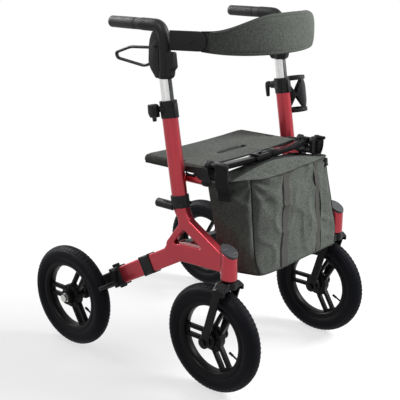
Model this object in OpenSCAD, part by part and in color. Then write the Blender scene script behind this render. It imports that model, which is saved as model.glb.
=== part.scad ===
// All terrain rollator: four pneumatic wheels, two side frames that fold together,
// height adjustable handles, sling seat, carry bag and padded backrest.
// Millimetres. Up is +Z, the front of the rollator is -Y, the user's right hand is -X.

/* [Wheels] */
// Outer diameter of all four tyres
wheel_d = 305; // [292:1:306]
// Width of a tyre
tyre_w = 50; // [44:1:52]
// Pairs of spokes in a wheel
spoke_pairs = 3; // [3:1:5]
// Length from front axle to rear axle
wheelbase = 503; // [495:1:510]
// Distance of the front axle behind the swivel axis
trail = 51; // [45:1:56]

/* [Frame] */
// Distance between the two upright tubes
track_w = 500; // [490:1:510]
// Backward lean of the uprights in degrees
lean = 8.8; // [8:0.1:9.6]
// Thickness of the side frame castings
frame_t = 25; // [22:1:28]
// Height of the rear leg tubes
leg_h = 50; // [46:1:52]

/* [Handles] */
// Diameter of the sliding handle tube
tube_d = 32; // [30:0.5:32.5]
// Length of a grip
grip_len = 137; // [110:1:140]
// Diameter of a grip
grip_d = 31; // [29:0.5:33]
// Thickness of the brake lever rod
lever_rod = 8; // [6:0.5:9]

/* [Seat and bag] */
// Depth of the seat
seat_depth = 204; // [190:1:206]
// Thickness of the seat cloth
seat_t = 5; // [4:0.5:6]
// Depth of the bag from front to back
bag_depth = 113; // [95:1:116]
// Lowest point of the bag
bag_z = 323; // [321:1:350]

/* [Backrest] */
// How far the backrest bows forward
back_depth = 190; // [160:1:195]
// Height of the backrest at its middle
back_h = 104; // [80:1:106]
// Thickness of the backrest padding
back_t = 18; // [12:1:20]

/* [Fits] */
// Gap on each side of a moving round fit
run_gap = 0.3; // [0.25:0.05:0.4]
// Gap on each side of a fixed fit
seat_gap = 0.1; // [0.05:0.05:0.15]

/* [Hidden] */
$fn = 64;
side_x = track_w / 2;
axle_r = wheel_d / 2;
ride = wheel_d - 305;
axle_z = axle_r - ride;
rear_y = wheelbase / 2;
front_y = -wheelbase / 2;
rear_x = side_x + 57;
caster_x = side_x + 2;
head_y = front_y - trail;
tyre_r = tyre_w / 2;
bead_r = axle_r - 2 * tyre_r + 0.5;
bead_w = 14.4;
flange_h = 6;
up_y = -132.5;
up_z = 520;
foot_z = 500;
collar_z = 728;
collar_h = 45;
crown = [-130, 366];
axle_end = [rear_y, axle_z];
leg_len = norm(axle_end - crown);
leg_a = atan2(axle_end.y - crown.y, axle_end.x - crown.x);
leg_split = 130;
brake_s = leg_len - axle_r - 22.7;
leg_step = brake_s;
pivot_x = side_x - 44;
strut_y = -221;
strut_z = 608;
low_y = -125;
low_z = 376;
knee_drop = 6;
knee_clear = 36;
rail_x = side_x - 44;
rail_z = 592;
rail_r = 10;
sleeve_r = 12.5;
arm_x = side_x - 29.6;
arm_z = rail_z - 24;
seat_top = rail_z + sleeve_r;
seat_front = -176;
lever_pin = [-64, 906];
clamp_pin_y = 31;
clamp_pin_z = 24;
grip_y = -28;
grip_z = 961;
shoe_pin = [brake_s, 16];
shoe_pad = [brake_s + 13, -14];
back_w = side_x - 10;
back_y = -110;
back_z = 926;
back_lift = 14;
back_end_h = 50;
back_first = 21.5;
pad_gap = 0.8;
function back_arc(a) = [-back_w * cos(a), back_y - back_depth * sin(a)];
back_start = back_arc(back_first);
fork_in = 36;
fork_out = 44;
bag_rear = -237;
bag_lean = 41;
bag_top = 566;
bag_wall = 3;
strap_w = 30;
strap_t = 2.5;
socket_r = 8;
red = [0.66, 0.2, 0.24];
black = [0.13, 0.13, 0.14];
rubber = [0.1, 0.1, 0.12];
silver = [0.8, 0.8, 0.82];
cloth = [0.42, 0.45, 0.42];

// A flat outline in the side plane, from x0 to x1
module yz(x0, x1) {
  translate([x0, 0, 0])
    rotate([90, 0, 90])
      linear_extrude(x1 - x0)
        children();
}

// A flat outline in the plane across the rollator, from y0 to y1
module xz(y0, y1) {
  translate([0, y1, 0])
    rotate([90, 0, 0])
      linear_extrude(y1 - y0)
        children();
}

// A straight bar outline with round ends, the bar a hair narrower than the ends
module link(p, q, w) {
  bar = w - 0.1;
  translate(p)
    circle(d = w);
  translate(q)
    circle(d = w);
  translate(p)
    rotate(atan2(q.y - p.y, q.x - p.x))
      translate([0, -bar / 2])
        square([norm(q - p), bar]);
}

// A straight sided oval outline, w across and d deep
module oval(w, d) {
  translate([0, (d - w) / 2])
    circle(d = w);
  translate([0, (w - d) / 2])
    circle(d = w);
  translate([-w / 2, (w - d) / 2])
    square([w, d - w]);
}

// A rectangle outline with round corners
module rounded(w, d, r) {
  translate([-w / 2 + r, -d / 2])
    square([w - 2 * r, d]);
  translate([-w / 2, -d / 2 + r])
    square([w, d - 2 * r]);
  for (i = [-1, 1])
    for (j = [-1, 1])
      translate([i * (w / 2 - r), j * (d / 2 - r)])
        circle(r = r);
}

// A round bar along X between x0 and x1
module round_x(x0, x1, r) {
  translate([x0, 0, 0])
    rotate([0, 90, 0])
      cylinder(h = x1 - x0, r = r);
}

// A round bar along Y between y0 and y1
module round_y(y0, y1, r) {
  translate([0, y1, 0])
    rotate([90, 0, 0])
      cylinder(h = y1 - y0, r = r);
}

// Stands children on the axis of the right upright at height z
module on_upright(z) {
  translate([-side_x, up_y + (z - up_z) * tan(lean), z])
    rotate([-lean, 0, 0])
      children();
}

// Lays children along the right rear leg, s from the crown of the arch
module on_leg(s) {
  translate([-side_x, crown.x, crown.y])
    rotate([leg_a, 0, 0])
      translate([0, s, 0])
        children();
}

// A tube length along the right rear leg
module leg_bar(s0, s1, w, h, r) {
  on_leg(s0)
    rotate([-90, 0, 0])
      linear_extrude(s1 - s0)
        rounded(w, h, r);
}

// Lifts children of the frame that stands on larger or smaller wheels
module rise() {
  translate([0, 0, ride])
    children();
}

module left() {
  mirror([1, 0, 0])
    children();
}

// Oval main tube that the handle tube slides in
module upright_right() {
  color(red)
    on_upright(foot_z)
      linear_extrude((collar_z - foot_z) / cos(lean))
        difference() {
          oval(37, 44);
          circle(r = tube_d / 2 + run_gap);
        }
}

// Side view of the neck below the upright, d larger all round
module neck_outline(d) {
  translate([up_y + (foot_z - up_z) * tan(lean), foot_z])
    rotate(-lean)
      polygon([[-22 - d, d], [22 + d, d], [15 + d, -22], [-2 + d, -54], [-34 - d, -42], [-24 - d, -22],
        [-22 - d, -10]]);
}

// Side view of the casting that joins the upright, the swivel head and the rear leg
module y_outline() {
  difference() {
    union() {
      neck_outline(0);
      link([-152, 458], [head_y + 38.5, 391], 36);
      link([-147, 447], [-100, 386], 19);
      link([head_y + 12.5, 374], [-143, 370], 49);
      translate(crown)
        circle(d = leg_h + 0.1);
      translate(crown)
        rotate(leg_a)
          translate([0, -leg_h / 2])
            square([leg_split, leg_h]);
      polygon([[-112, 402], [-84, 372], [-130, 372]]);
    }
    polygon([[-157, 426], [-150, 426], [-128, 395], [head_y + 94.5, 397], [head_y + 96.5, 401]]);
  }
}

module y_frame_right() {
  color(red)
    difference() {
      union() {
        yz(-side_x - frame_t / 2, -side_x + frame_t / 2)
          y_outline();
        translate([-caster_x, head_y, 332])
          cylinder(h = 100, r = 22);
        for (i = [-1, 1])
          translate([0, i * 14, 0])
            xz(low_y - 3, low_y + 3)
              link([-side_x + frame_t / 2 - 1, low_z], [-pivot_x, low_z], 22);
        translate([-pivot_x, 0, low_z])
          round_y(low_y - 14, low_y + 14, 4);
      }
      translate([-caster_x, head_y, 406.2])
        rotate([28.6, 0, 0])
          translate([-40, -60, 0])
            cube([80, 120, 60]);
      translate([-caster_x, head_y, 331])
        cylinder(h = 64, r = 14);
    }
}

// Rear leg tube with the axle boss at its end
module rear_leg_right() {
  color(red)
    difference() {
      union() {
        leg_bar(leg_split, leg_step, frame_t, leg_h, 7);
        leg_bar(leg_step, leg_len, frame_t - 4, leg_h - 7, 7);
        translate([0, rear_y, axle_z])
          round_x(-side_x - frame_t / 2, -side_x + frame_t / 2, 24);
      }
      translate([0, rear_y, axle_z])
        round_x(-side_x - 50, -side_x + 50, 6 + seat_gap);
    }
}

// Sleeve over the joint between casting and rear leg
module leg_collar_right() {
  color(black)
    difference() {
      leg_bar(110, 151, frame_t + 4, leg_h + 4, 4);
      leg_bar(109, 152, frame_t + 2 * seat_gap, leg_h + 2 * seat_gap, 0.2);
    }
}

// Sleeve on the rear leg that carries the brake arm
module brake_housing_right() {
  color(black)
    difference() {
      union() {
        leg_bar(brake_s - 15, brake_s + 28, frame_t + 6, leg_h + 6, 6);
        translate([-side_x, crown.x, crown.y])
          rotate([leg_a, 0, 0])
            translate([0, shoe_pin.x, shoe_pin.y])
              round_x(-frame_t / 2 - 18, -frame_t / 2 - 1, 4);
      }
      leg_bar(brake_s - 16, leg_step, frame_t + 2 * seat_gap, leg_h + 2 * seat_gap, 7);
      leg_bar(leg_step - 1, brake_s + 29, frame_t - 4 + 2 * seat_gap, leg_h - 7 + 2 * seat_gap, 7);
    }
}

// Axle with spacer, end nut and two ball bearings
module rear_axle_right() {
  color(silver)
    translate([0, rear_y, axle_r]) {
      round_x(-rear_x - 32, -side_x + frame_t / 2, 6);
      round_x(-rear_x - 38, -rear_x - 32, 11);
      for (x = [-rear_x - 28, -rear_x + 18])
        difference() {
          round_x(x, x + 10, 14);
          round_x(x - 1, x + 11, 6 + seat_gap);
        }
      difference() {
        round_x(-rear_x + 30, -side_x - frame_t / 2 - seat_gap, 10);
        round_x(-rear_x + 29, -side_x, 6 + seat_gap);
      }
    }
}

// Slanted cap on the swivel head
module head_cap_right() {
  color([0.25, 0.27, 0.29])
    intersection() {
      translate([-caster_x, head_y, 380])
        cylinder(h = 60, r = 22.6);
      translate([-caster_x, head_y, 406.2 + seat_gap])
        rotate([28.6, 0, 0])
          translate([-40, -60, 0])
            cube([80, 120, 6]);
    }
}

// Height clamp on top of the upright, with the fork that holds its lever
module clamp_collar_right() {
  color(black)
    on_upright(collar_z) {
      linear_extrude(collar_h)
        difference() {
          oval(41, 48);
          circle(r = tube_d / 2 + run_gap);
        }
      for (i = [-1, 1])
        translate([i * 9.5, 0, 0])
          yz(-3, 3)
            link([23.5, clamp_pin_z], [clamp_pin_y, clamp_pin_z], 15);
      translate([0, clamp_pin_y, clamp_pin_z])
        round_x(-10, 10, 3);
    }
}

// Clamp lever that hangs behind the clamp
module clamp_lever_right() {
  color(black)
    on_upright(collar_z)
      translate([0, clamp_pin_y, clamp_pin_z])
        difference() {
          union() {
            yz(-6.2, 6.2)
              circle(d = 13);
            yz(-6.2, 6.2)
              link([0, 0], [18, 6], 11);
            yz(-12, 12) {
              link([19, 4], [34, 2], 13);
              link([20, -12], [34, -14], 13);
              link([27, 2], [27, -13], 24);
              link([25, -18], [29, -28], 8);
            }
          }
          round_x(-20, 20, 3 + run_gap);
        }
}

// Short tube that carries the seat rail beside the upright
module seat_arm_right() {
  color(red)
    translate([-arm_x, 0, arm_z])
      round_y(-203, -80, 11);
}

// Brackets between arm, seat rail and front strut
module seat_cradle_right() {
  color(black) {
    difference() {
      union() {
        xz(-204, -192) {
          link([-arm_x, arm_z], [-rail_x, rail_z], 26);
          link([-rail_x, rail_z - 8], [-pivot_x, strut_z], 28);
        }
        xz(-250, -238)
          link([-pivot_x, rail_z - 8], [-pivot_x, strut_z], 28);
        translate([-rail_x - 14, -250, rail_z - 18])
          cube([28, 58, 7]);
      }
      translate([-arm_x, 0, arm_z])
        round_y(-203 - seat_gap, -190, 11 + seat_gap);
      translate([-rail_x, 0, rail_z])
        round_y(-203 - seat_gap, -190, rail_r + seat_gap);
    }
    translate([-pivot_x, 0, strut_z]) {
      round_y(-239, -203, 4);
      round_y(-239, strut_y - 10.4, 7);
      round_y(strut_y + 10.4, -203, 7);
    }
    difference() {
      xz(-100, -82)
        link([-arm_x, arm_z], [-rail_x, rail_z], 25);
      translate([-arm_x, 0, arm_z])
        round_y(-101, -70, 11 + seat_gap);
      translate([-rail_x, 0, rail_z])
        round_y(-101, -70, rail_r + seat_gap);
    }
  }
}

// Round rail along the edge of the seat
module seat_rail_right() {
  color(black)
    translate([-rail_x, 0, rail_z])
      round_y(-203, seat_front + seat_depth - 2, rail_r);
}

// Inner tube that slides in the upright
module handle_tube_right() {
  color(silver)
    on_upright(596)
      difference() {
        cylinder(h = 234, r = tube_d / 2);
        translate([0, 0, -1])
          cylinder(h = 226, r = tube_d / 2 - 2);
      }
}

// Side view of the handle housing
module body_outline() {
  polygon([[-58, 827], [-41, 852], [-35, 866], [-38, 908], [-44, 930], [grip_y, 944],
    [grip_y, 977], [-50, 975], [-74, 965], [-92, 950], [-100, 936], [-100, 896],
    [-117, 896], [-122, 856], [-112, 849], [-111, 836], [-104, 827]]);
}

// Handle housing with the core of the grip
module handle_body_right() {
  color(black)
    difference() {
      union() {
        yz(-side_x - 17, -side_x + 17)
          body_outline();
        translate([-side_x, 0, grip_z])
          round_y(grip_y - 4, grip_y + grip_len - 6, 10);
        translate([0, lever_pin.x, lever_pin.y])
          round_x(-side_x - 19, -side_x + 19, 5);
      }
      yz(-side_x - 7, -side_x + 7)
        difference() {
          polygon([[-80, 840], [-80, 921], [0, 921], [0, 840]]);
          translate(lever_pin)
            circle(r = 4);
        }
      on_upright(596)
        translate([0, 0, 200])
          cylinder(h = 34 + seat_gap, r = tube_d / 2 + seat_gap);
    }
}

// Rubber grip sleeve
module grip_right() {
  color(rubber)
    translate([-side_x, 0, grip_z])
      difference() {
        union() {
          round_y(grip_y + seat_gap, grip_y + grip_len, grip_d / 2);
          round_y(grip_y + seat_gap, grip_y + 8, grip_d / 2 + 1);
        }
        round_y(grip_y - 1, grip_y + grip_len - 6 + seat_gap, 10 + seat_gap);
      }
}

// Plate between handle housing and backrest, with the head of its screw
module back_bracket_right() {
  start = [-side_x, -100 - seat_gap];
  reach = back_start - start;
  turn = atan2(reach.y, reach.x);
  color(black)
    difference() {
      translate([start.x, start.y, back_z])
        rotate([0, 0, turn])
          rotate([90, 0, 0]) {
            translate([(norm(reach) - pad_gap) / 2 - 2, 0, -3])
              linear_extrude(6)
                rounded(norm(reach) - pad_gap + 4, back_end_h, 6);
            translate([58, 0, -5])
              cylinder(h = 9, r = 5);
          }
      translate([-side_x - 60, start.y, back_z - 60])
        cube([120, 60, 120]);
    }
}

// Brake lever, a closed loop to pull or rest the fingers in
module brake_lever_right() {
  color(black)
    difference() {
      yz(-side_x - 6, -side_x + 6) {
        link(lever_pin, [-33, 903], 13);
        link([-33, 903], [39, 899], lever_rod);
        link([39, 899], [94, 880], lever_rod);
        link([94, 880], [88, 865], lever_rod);
        link([88, 865], [-11, 853], lever_rod);
        link([-11, 853], [-33, 861], lever_rod);
        link([-33, 861], lever_pin, 11);
        link([-33, 861], [-33, 903], lever_rod);
      }
      translate([0, lever_pin.x, lever_pin.y])
        round_x(-side_x - 20, -side_x + 20, 4 + run_gap);
    }
}

// Brake arm whose pad presses on the tyre tread
module brake_shoe_right() {
  color(black)
    translate([-side_x, crown.x, crown.y])
      rotate([leg_a, 0, 0])
        difference() {
          union() {
            yz(-frame_t / 2 - 17, -frame_t / 2 - 4)
              link(shoe_pin, shoe_pad, 14);
            translate([0, shoe_pad.x, shoe_pad.y])
              round_x(side_x - rear_x - tyre_r, -frame_t / 2 - 4, 6);
          }
          translate([0, shoe_pin.x, shoe_pin.y])
            round_x(-40, 0, 4 + run_gap);
        }
}

// Swivel fork with crown and two legs
module fork_right() {
  color(black)
    difference() {
      union() {
        translate([-caster_x, 0, 0])
          xz(head_y - 16, head_y + 20)
            polygon([[-24, 329], [-fork_out, 311], [-fork_out, 298], [-fork_in, 298], [-fork_in, 309],
              [fork_in, 309], [fork_in, 298], [fork_out, 298], [fork_out, 311], [24, 329]]);
        translate([-caster_x, head_y, 309])
          cylinder(h = 21, r = 22);
        for (x = [-fork_out, fork_in])
          yz(x - caster_x, x - caster_x + fork_out - fork_in) {
            link([head_y + 5, 305], [front_y, axle_z], 23);
            translate([front_y, axle_z])
              circle(r = 17);
          }
      }
      translate([0, front_y, axle_z])
        round_x(-caster_x - 60, -caster_x + 60, 5 + seat_gap);
    }
}

// Swivel stem with its two bearings
module steerer_right() {
  color(silver)
    translate([-caster_x, head_y, 0]) {
      translate([0, 0, 330])
        cylinder(h = 62, r = 9.5);
      for (z = [333, 382])
        translate([0, 0, z])
          difference() {
            cylinder(h = 9, r = 14 - run_gap);
            translate([0, 0, -1])
              cylinder(h = 11, r = 9.5 + seat_gap);
          }
    }
}

// Front axle bolt with heads, spacers and two ball bearings
module front_axle_right() {
  color(silver)
    translate([-caster_x, front_y, axle_r]) {
      round_x(-fork_out, fork_out, 5);
      round_x(-fork_out - 5, -fork_out, 9);
      round_x(fork_out, fork_out + 5, 9);
      for (x = [-32, 24])
        difference() {
          round_x(x, x + 8, 11);
          round_x(x - 1, x + 9, 5 + seat_gap);
        }
      for (x = [-36 + seat_gap, 32.2])
        difference() {
          round_x(x, x + 3.6, 8);
          round_x(x - 1, x + 5, 5 + seat_gap);
        }
    }
}

// Hollow tyre about the X axis
module tyre() {
  rotate([0, 90, 0])
    rotate_extrude($fn = 96)
      difference() {
        translate([axle_r - tyre_r, 0])
          circle(r = tyre_r);
        translate([axle_r - tyre_r, 0])
          circle(r = tyre_r - 4.5);
        translate([0, -60])
          square([bead_r, 120]);
        translate([0, bead_w - seat_gap])
          square([bead_r + flange_h + seat_gap, 40]);
        translate([0, -40 - bead_w + seat_gap])
          square([bead_r + flange_h + seat_gap, 40]);
      }
}

// Wheel body about the X axis: rim channel, pairs of spokes, hub and valve
module rim(hub_r, half, bore) {
  difference() {
    union() {
      rotate([0, 90, 0])
        rotate_extrude($fn = 96)
          difference() {
            translate([bead_r - 12, -bead_w - 3.1])
              square([12 + flange_h, 2 * bead_w + 6.2]);
            translate([bead_r - seat_gap, -bead_w])
              square([20, 2 * bead_w]);
          }
      for (i = [0 : spoke_pairs - 1])
        rotate([i * 360 / spoke_pairs, 0, 0])
          for (j = [-1, 1])
            translate([-7, hub_r - 12, j * 13 - 4.5])
              cube([14, bead_r - hub_r + 4, 9]);
      round_x(-half, half, hub_r);
      rotate([205, 0, 0])
        translate([0, bead_r - 40, 0])
          round_y(0, 30, 3);
    }
    round_x(-half - 1, half + 1, bore);
  }
}

module tyre_front_right() {
  color(rubber)
    translate([-caster_x, front_y, axle_r])
      tyre();
}

module rim_front_right() {
  color(black)
    translate([-caster_x, front_y, axle_r])
      rim(26, 31.5, 11 + run_gap);
}

module tyre_rear_right() {
  color(rubber)
    translate([-rear_x, rear_y, axle_r])
      tyre();
}

module rim_rear_right() {
  color(black)
    translate([-rear_x, rear_y, axle_r])
      rim(28, 29.5, 14 + run_gap);
}

// Half of a folding strut that carries the knee pin
module strut_pin_half(y, z) {
  difference() {
    union() {
      xz(y - 10, y + 10)
        link([-pivot_x, z], [-knee_clear, z - 6], 20);
      for (i = [-1, 1])
        translate([0, i * 12, 0])
          xz(y - 3, y + 3)
            link([-44, z - 6], [0, z - knee_drop], 18);
    }
    translate([-pivot_x, 0, z])
      round_y(y - 20, y + 20, 4 + run_gap);
  }
  translate([0, 0, z - knee_drop])
    round_y(y - 14, y + 14, 4);
}

// Half of a folding strut that turns on the knee pin
module strut_eye_half(y, z) {
  difference() {
    union() {
      xz(y - 10, y + 10)
        link([pivot_x, z], [knee_clear, z - 6], 20);
      xz(y - 8.5, y + 8.5)
        link([44, z - 6], [0, z - knee_drop], 18);
    }
    translate([pivot_x, 0, z])
      round_y(y - 20, y + 20, 4 + run_gap);
    translate([0, 0, z - knee_drop])
      round_y(y - 20, y + 20, 4 + run_gap);
  }
}

module strut_front_right() {
  color(black)
    strut_pin_half(strut_y, strut_z);
}

module strut_front_left() {
  color(black)
    strut_eye_half(strut_y, strut_z);
}

module strut_low_right() {
  color(black)
    strut_pin_half(low_y, low_z);
}

module strut_low_left() {
  color(black)
    strut_eye_half(low_y, low_z);
}

// Sling seat with sleeves round both rails and the pull strap in its slot
module seat() {
  seat_rear = seat_front + seat_depth;
  color(cloth)
    difference() {
      union() {
        translate([0, 0, seat_top - seat_t])
          linear_extrude(seat_t)
            difference() {
              union() {
                translate([-rail_x, seat_front])
                  square([2 * rail_x, seat_depth - 34]);
                translate([-rail_x + 34, seat_front])
                  square([2 * rail_x - 68, seat_depth]);
                for (i = [-1, 1])
                  translate([i * (rail_x - 34), seat_rear - 34])
                    circle(r = 34);
              }
              link([-52, -103], [52, -103], 22);
            }
        for (i = [-1, 1])
          translate([i * rail_x, 0, rail_z])
            round_y(seat_front, seat_rear - 30, sleeve_r);
        translate([-75, -120, seat_top - seat_t - 2])
          cube([150, 34, 2.5]);
      }
      for (i = [-1, 1]) {
        translate([i * rail_x, 0, rail_z])
          round_y(seat_front - 1, seat_rear + 5, rail_r + seat_gap);
        translate([i * (rail_x + 4) - 18, -101, rail_z - 20])
          cube([36, 20, 40]);
      }
    }
}

// Thin slices of the bag's outline at its foot and mouth, drawn in by d
module bag_space(d) {
  for (c = [[bag_z + d, bag_rear, side_x - 54, side_x - 69],
      [bag_top + sign(d), bag_rear + bag_lean, side_x - 46, side_x - 78]])
    for (i = [-1, 1]) {
      translate([i * (c[2] - 12), c[1] - 12, c[0] - 1])
        cylinder(h = 1, r = 12 - d, $fn = 32);
      translate([i * (c[3] - 12), c[1] - bag_depth + 12, c[0] - 1])
        cylinder(h = 1, r = 12 - d, $fn = 32);
    }
}

// Webbing from the outer side of the right cradle down to the bag
module bag_strap() {
  out = pivot_x + 14 + run_gap;
  y0 = -232 - strap_w;
  translate([-out - strap_t, y0, bag_top + 4])
    cube([strap_t, strap_w, 56]);
  hull() {
    translate([-out - strap_t, y0, bag_top + 4])
      cube([strap_t, strap_w, 1]);
    translate([-side_x + 62, y0, bag_top - 30])
      cube([strap_t, strap_w, 1]);
  }
}

// Bag below the front of the seat, open at the top, with a strap up to each cradle
module bag() {
  color(cloth)
    difference() {
      union() {
        hull()
          bag_space(0);
        bag_strap();
        left()
          bag_strap();
      }
      hull()
        bag_space(bag_wall);
    }
}

// Upper and lower edge of the backrest pad at angle a: the upper one rises late, the lower one drops early
function back_share(a) = (min(a, 180 - a) - back_first) / (90 - back_first);
function back_step(a) =
  let (t = min(1, max(0, (min(a, 180 - a) - 30) / 44)))
  t * t * (3 - 2 * t);
function back_rise(a) = 0.12 * back_share(a) + 0.88 * back_step(a);
function back_drop(a) = 1 - pow(max(0, 1 - back_share(a)), 3.2);
function back_grow() = (back_h - back_end_h) / 2;
function back_top(a) = back_z + back_end_h / 2 + (back_grow() + back_lift) * back_rise(a);
function back_foot(a) = back_z - back_end_h / 2 - (back_grow() - back_lift) * back_drop(a);
function back_round(b, n) = sign(cos(b)) * pow(abs(cos(b)), n);
function back_point(a, b) =
  let (n = [-cos(a) / back_w, -sin(a) / back_depth],
    out = n / norm(n) * back_round(b, 0.8) * back_t / 2)
  concat(back_arc(a) + out,
    (back_top(a) + back_foot(a)) / 2 + back_round(b - 90, 0.55) * (back_top(a) - back_foot(a)) / 2);

// Padded band that bows forward from handle to handle
module backrest() {
  steps = 48;
  ring = 18;
  turn = (180 - 2 * back_first) / steps;
  pts = [for (i = [0 : steps]) for (k = [0 : ring - 1]) back_point(back_first + i * turn, k * 360 / ring)];
  sides = [for (i = [0 : steps - 1]) for (k = [0 : ring - 1]) for (t = [0, 1])
    let (a = i * ring + k, b = i * ring + (k + 1) % ring)
    t == 0 ? [a, b, b + ring] : [a, b + ring, a + ring]];
  ends = [for (t = [0, 1]) [for (k = [0 : ring - 1]) t == 0 ? ring - 1 - k : steps * ring + k]];
  color(cloth)
    polyhedron(pts, concat(sides, ends), convexity = 6);
}

// Open cage for a drink, on a ring round the left upright
module cup_holder() {
  color(black)
    left()
      on_upright(664) {
        translate([-18.5 - 5 - 35, 0, 0])
          difference() {
            cylinder(h = 108, r = 35);
            translate([0, 0, 3])
              cylinder(h = 110, r = 32.5);
            for (a = [45 : 90 : 315])
              rotate([0, 0, a])
                rotate([90, 0, 90])
                  translate([0, 0, 10])
                    linear_extrude(40) {
                      polygon([[-16, 12], [16, 12], [0, 46]]);
                      polygon([[-16, 96], [16, 96], [0, 62]]);
                    }
          }
        translate([0, 0, 34])
          linear_extrude(28)
            difference() {
              union() {
                oval(45, 52);
                translate([-18.5 - 5 - 2, -10])
                  square([11, 20]);
              }
              oval(37 + 2 * seat_gap, 44 + 2 * seat_gap);
            }
      }
}

// Band round the foot of the right upright with a rearward socket for a walking stick
module cane_clip() {
  color(black)
    difference() {
      union() {
        on_upright(494)
          linear_extrude(33)
            oval(44, 51);
        translate([-side_x - 12, 0, 496])
          round_y(-124, -64, 12);
      }
      translate([-side_x - 12, 0, 496])
        round_y(-101, -63, socket_r);
      on_upright(470)
        linear_extrude(80)
          oval(37 + 2 * seat_gap, 44 + 2 * seat_gap);
      yz(-side_x - frame_t / 2 - seat_gap, -side_x + frame_t / 2 + seat_gap)
        neck_outline(seat_gap);
    }
}

module upright_left() { left() upright_right(); }
module y_frame_left() { left() y_frame_right(); }
module rear_leg_left() { left() rear_leg_right(); }
module leg_collar_left() { left() leg_collar_right(); }
module brake_housing_left() { left() brake_housing_right(); }
module rear_axle_left() { left() rear_axle_right(); }
module head_cap_left() { left() head_cap_right(); }
module clamp_collar_left() { left() clamp_collar_right(); }
module seat_arm_left() { left() seat_arm_right(); }
module seat_cradle_left() { left() seat_cradle_right(); }
module seat_rail_left() { left() seat_rail_right(); }
module handle_tube_left() { left() handle_tube_right(); }
module handle_body_left() { left() handle_body_right(); }
module grip_left() { left() grip_right(); }
module back_bracket_left() { left() back_bracket_right(); }
module brake_lever_left() { left() brake_lever_right(); }
module clamp_lever_left() { left() clamp_lever_right(); }
module brake_shoe_left() { left() brake_shoe_right(); }
module fork_left() { left() fork_right(); }
module steerer_left() { left() steerer_right(); }
module front_axle_left() { left() front_axle_right(); }
module tyre_front_left() { left() tyre_front_right(); }
module rim_front_left() { left() rim_front_right(); }
module tyre_rear_left() { left() tyre_rear_right(); }
module rim_rear_left() { left() rim_rear_right(); }

rise() upright_right();
rise() upright_left();
rise() y_frame_right();
rise() y_frame_left();
rise() rear_leg_right();
rise() rear_leg_left();
rise() leg_collar_right();
rise() leg_collar_left();
rise() brake_housing_right();
rise() brake_housing_left();
rear_axle_right();
rear_axle_left();
rise() head_cap_right();
rise() head_cap_left();
rise() clamp_collar_right();
rise() clamp_collar_left();
rise() seat_arm_right();
rise() seat_arm_left();
rise() seat_cradle_right();
rise() seat_cradle_left();
rise() seat_rail_right();
rise() seat_rail_left();
rise() handle_tube_right();
rise() handle_tube_left();
rise() handle_body_right();
rise() handle_body_left();
rise() grip_right();
rise() grip_left();
rise() back_bracket_right();
rise() back_bracket_left();
rise() brake_lever_right();
rise() brake_lever_left();
rise() clamp_lever_right();
rise() clamp_lever_left();
rise() brake_shoe_right();
rise() brake_shoe_left();
rise() fork_right();
rise() fork_left();
rise() steerer_right();
rise() steerer_left();
front_axle_right();
front_axle_left();
tyre_front_right();
tyre_front_left();
rim_front_right();
rim_front_left();
tyre_rear_right();
tyre_rear_left();
rim_rear_right();
rim_rear_left();
rise() strut_front_right();
rise() strut_front_left();
rise() strut_low_right();
rise() strut_low_left();
rise() seat();
rise() bag();
rise() backrest();
rise() cup_holder();
rise() cane_clip();
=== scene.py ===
"""All terrain rollator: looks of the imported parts, modelled piece by piece."""
import math

import bmesh
import bpy
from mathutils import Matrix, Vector, noise


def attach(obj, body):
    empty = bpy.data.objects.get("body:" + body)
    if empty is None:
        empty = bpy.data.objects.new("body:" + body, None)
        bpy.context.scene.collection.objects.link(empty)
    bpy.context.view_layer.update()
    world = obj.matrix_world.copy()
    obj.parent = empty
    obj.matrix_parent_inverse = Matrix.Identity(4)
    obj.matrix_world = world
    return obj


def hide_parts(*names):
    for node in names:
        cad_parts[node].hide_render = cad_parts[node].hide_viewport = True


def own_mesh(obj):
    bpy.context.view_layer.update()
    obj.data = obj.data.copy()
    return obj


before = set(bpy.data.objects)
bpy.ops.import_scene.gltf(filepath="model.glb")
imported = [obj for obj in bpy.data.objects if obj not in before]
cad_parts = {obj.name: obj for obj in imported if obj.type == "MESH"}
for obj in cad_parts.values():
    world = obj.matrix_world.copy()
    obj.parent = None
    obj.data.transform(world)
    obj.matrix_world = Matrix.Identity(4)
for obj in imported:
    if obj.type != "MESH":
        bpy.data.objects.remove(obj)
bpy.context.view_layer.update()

bl_info = {
    "name": "All Terrain Rollator",
    "version": (1, 0, 0),
    "blender": (4, 5, 0),
    "location": "3D View > Sidebar > Rollator",
    "description": "Models the wheels, castings, handles, seat, bag and backrest of a rollator",
    "category": "Object",
}

MM = 0.001
TURN = 2 * math.pi
SIDES = ("right", "left")

# Places in millimetres, the same as in the part's source
SIDE_X = 250
REAR_X = 307
CASTER_X = 252
AXLE_Z = 152.5
FRONT_Y = -251.5
REAR_Y = 251.5
LEAN = math.radians(8.8)
UPRIGHT_FOOT = (-132.5, 520)
CROWN = (-130, 366)
LEG_A = math.atan2(AXLE_Z - CROWN[1], REAR_Y - CROWN[0])
CLAMP_Z = 728
HOLDER_X = SIDE_X + 58.5
HOLDER_Z = 664
GRIP_Z = 961

# Seat: rails, top, front and rear edge, and the cut-out at each rear clamp
RAIL_X = 206
RAIL_Z = 592
SEAT_TOP = 604.5
SEAT_FRONT, SEAT_REAR = -176, 28
NOTCH_FRONT, NOTCH_REAR = -103, -79
SLOT_Y = -103

# Backrest: half width, depth and centre of its curve in plan, and the angle of its ends
BACK_W = 240
BACK_D = 190
BACK_Y = -110
BACK_Z = 926
BACK_FIRST = 21.5

# Tyres: radius of the section, radius of the ring, and top of the tread
TYRE_SECTION = 25
TYRE_RING = 127.5
TREAD_TOP = 152.45


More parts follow.
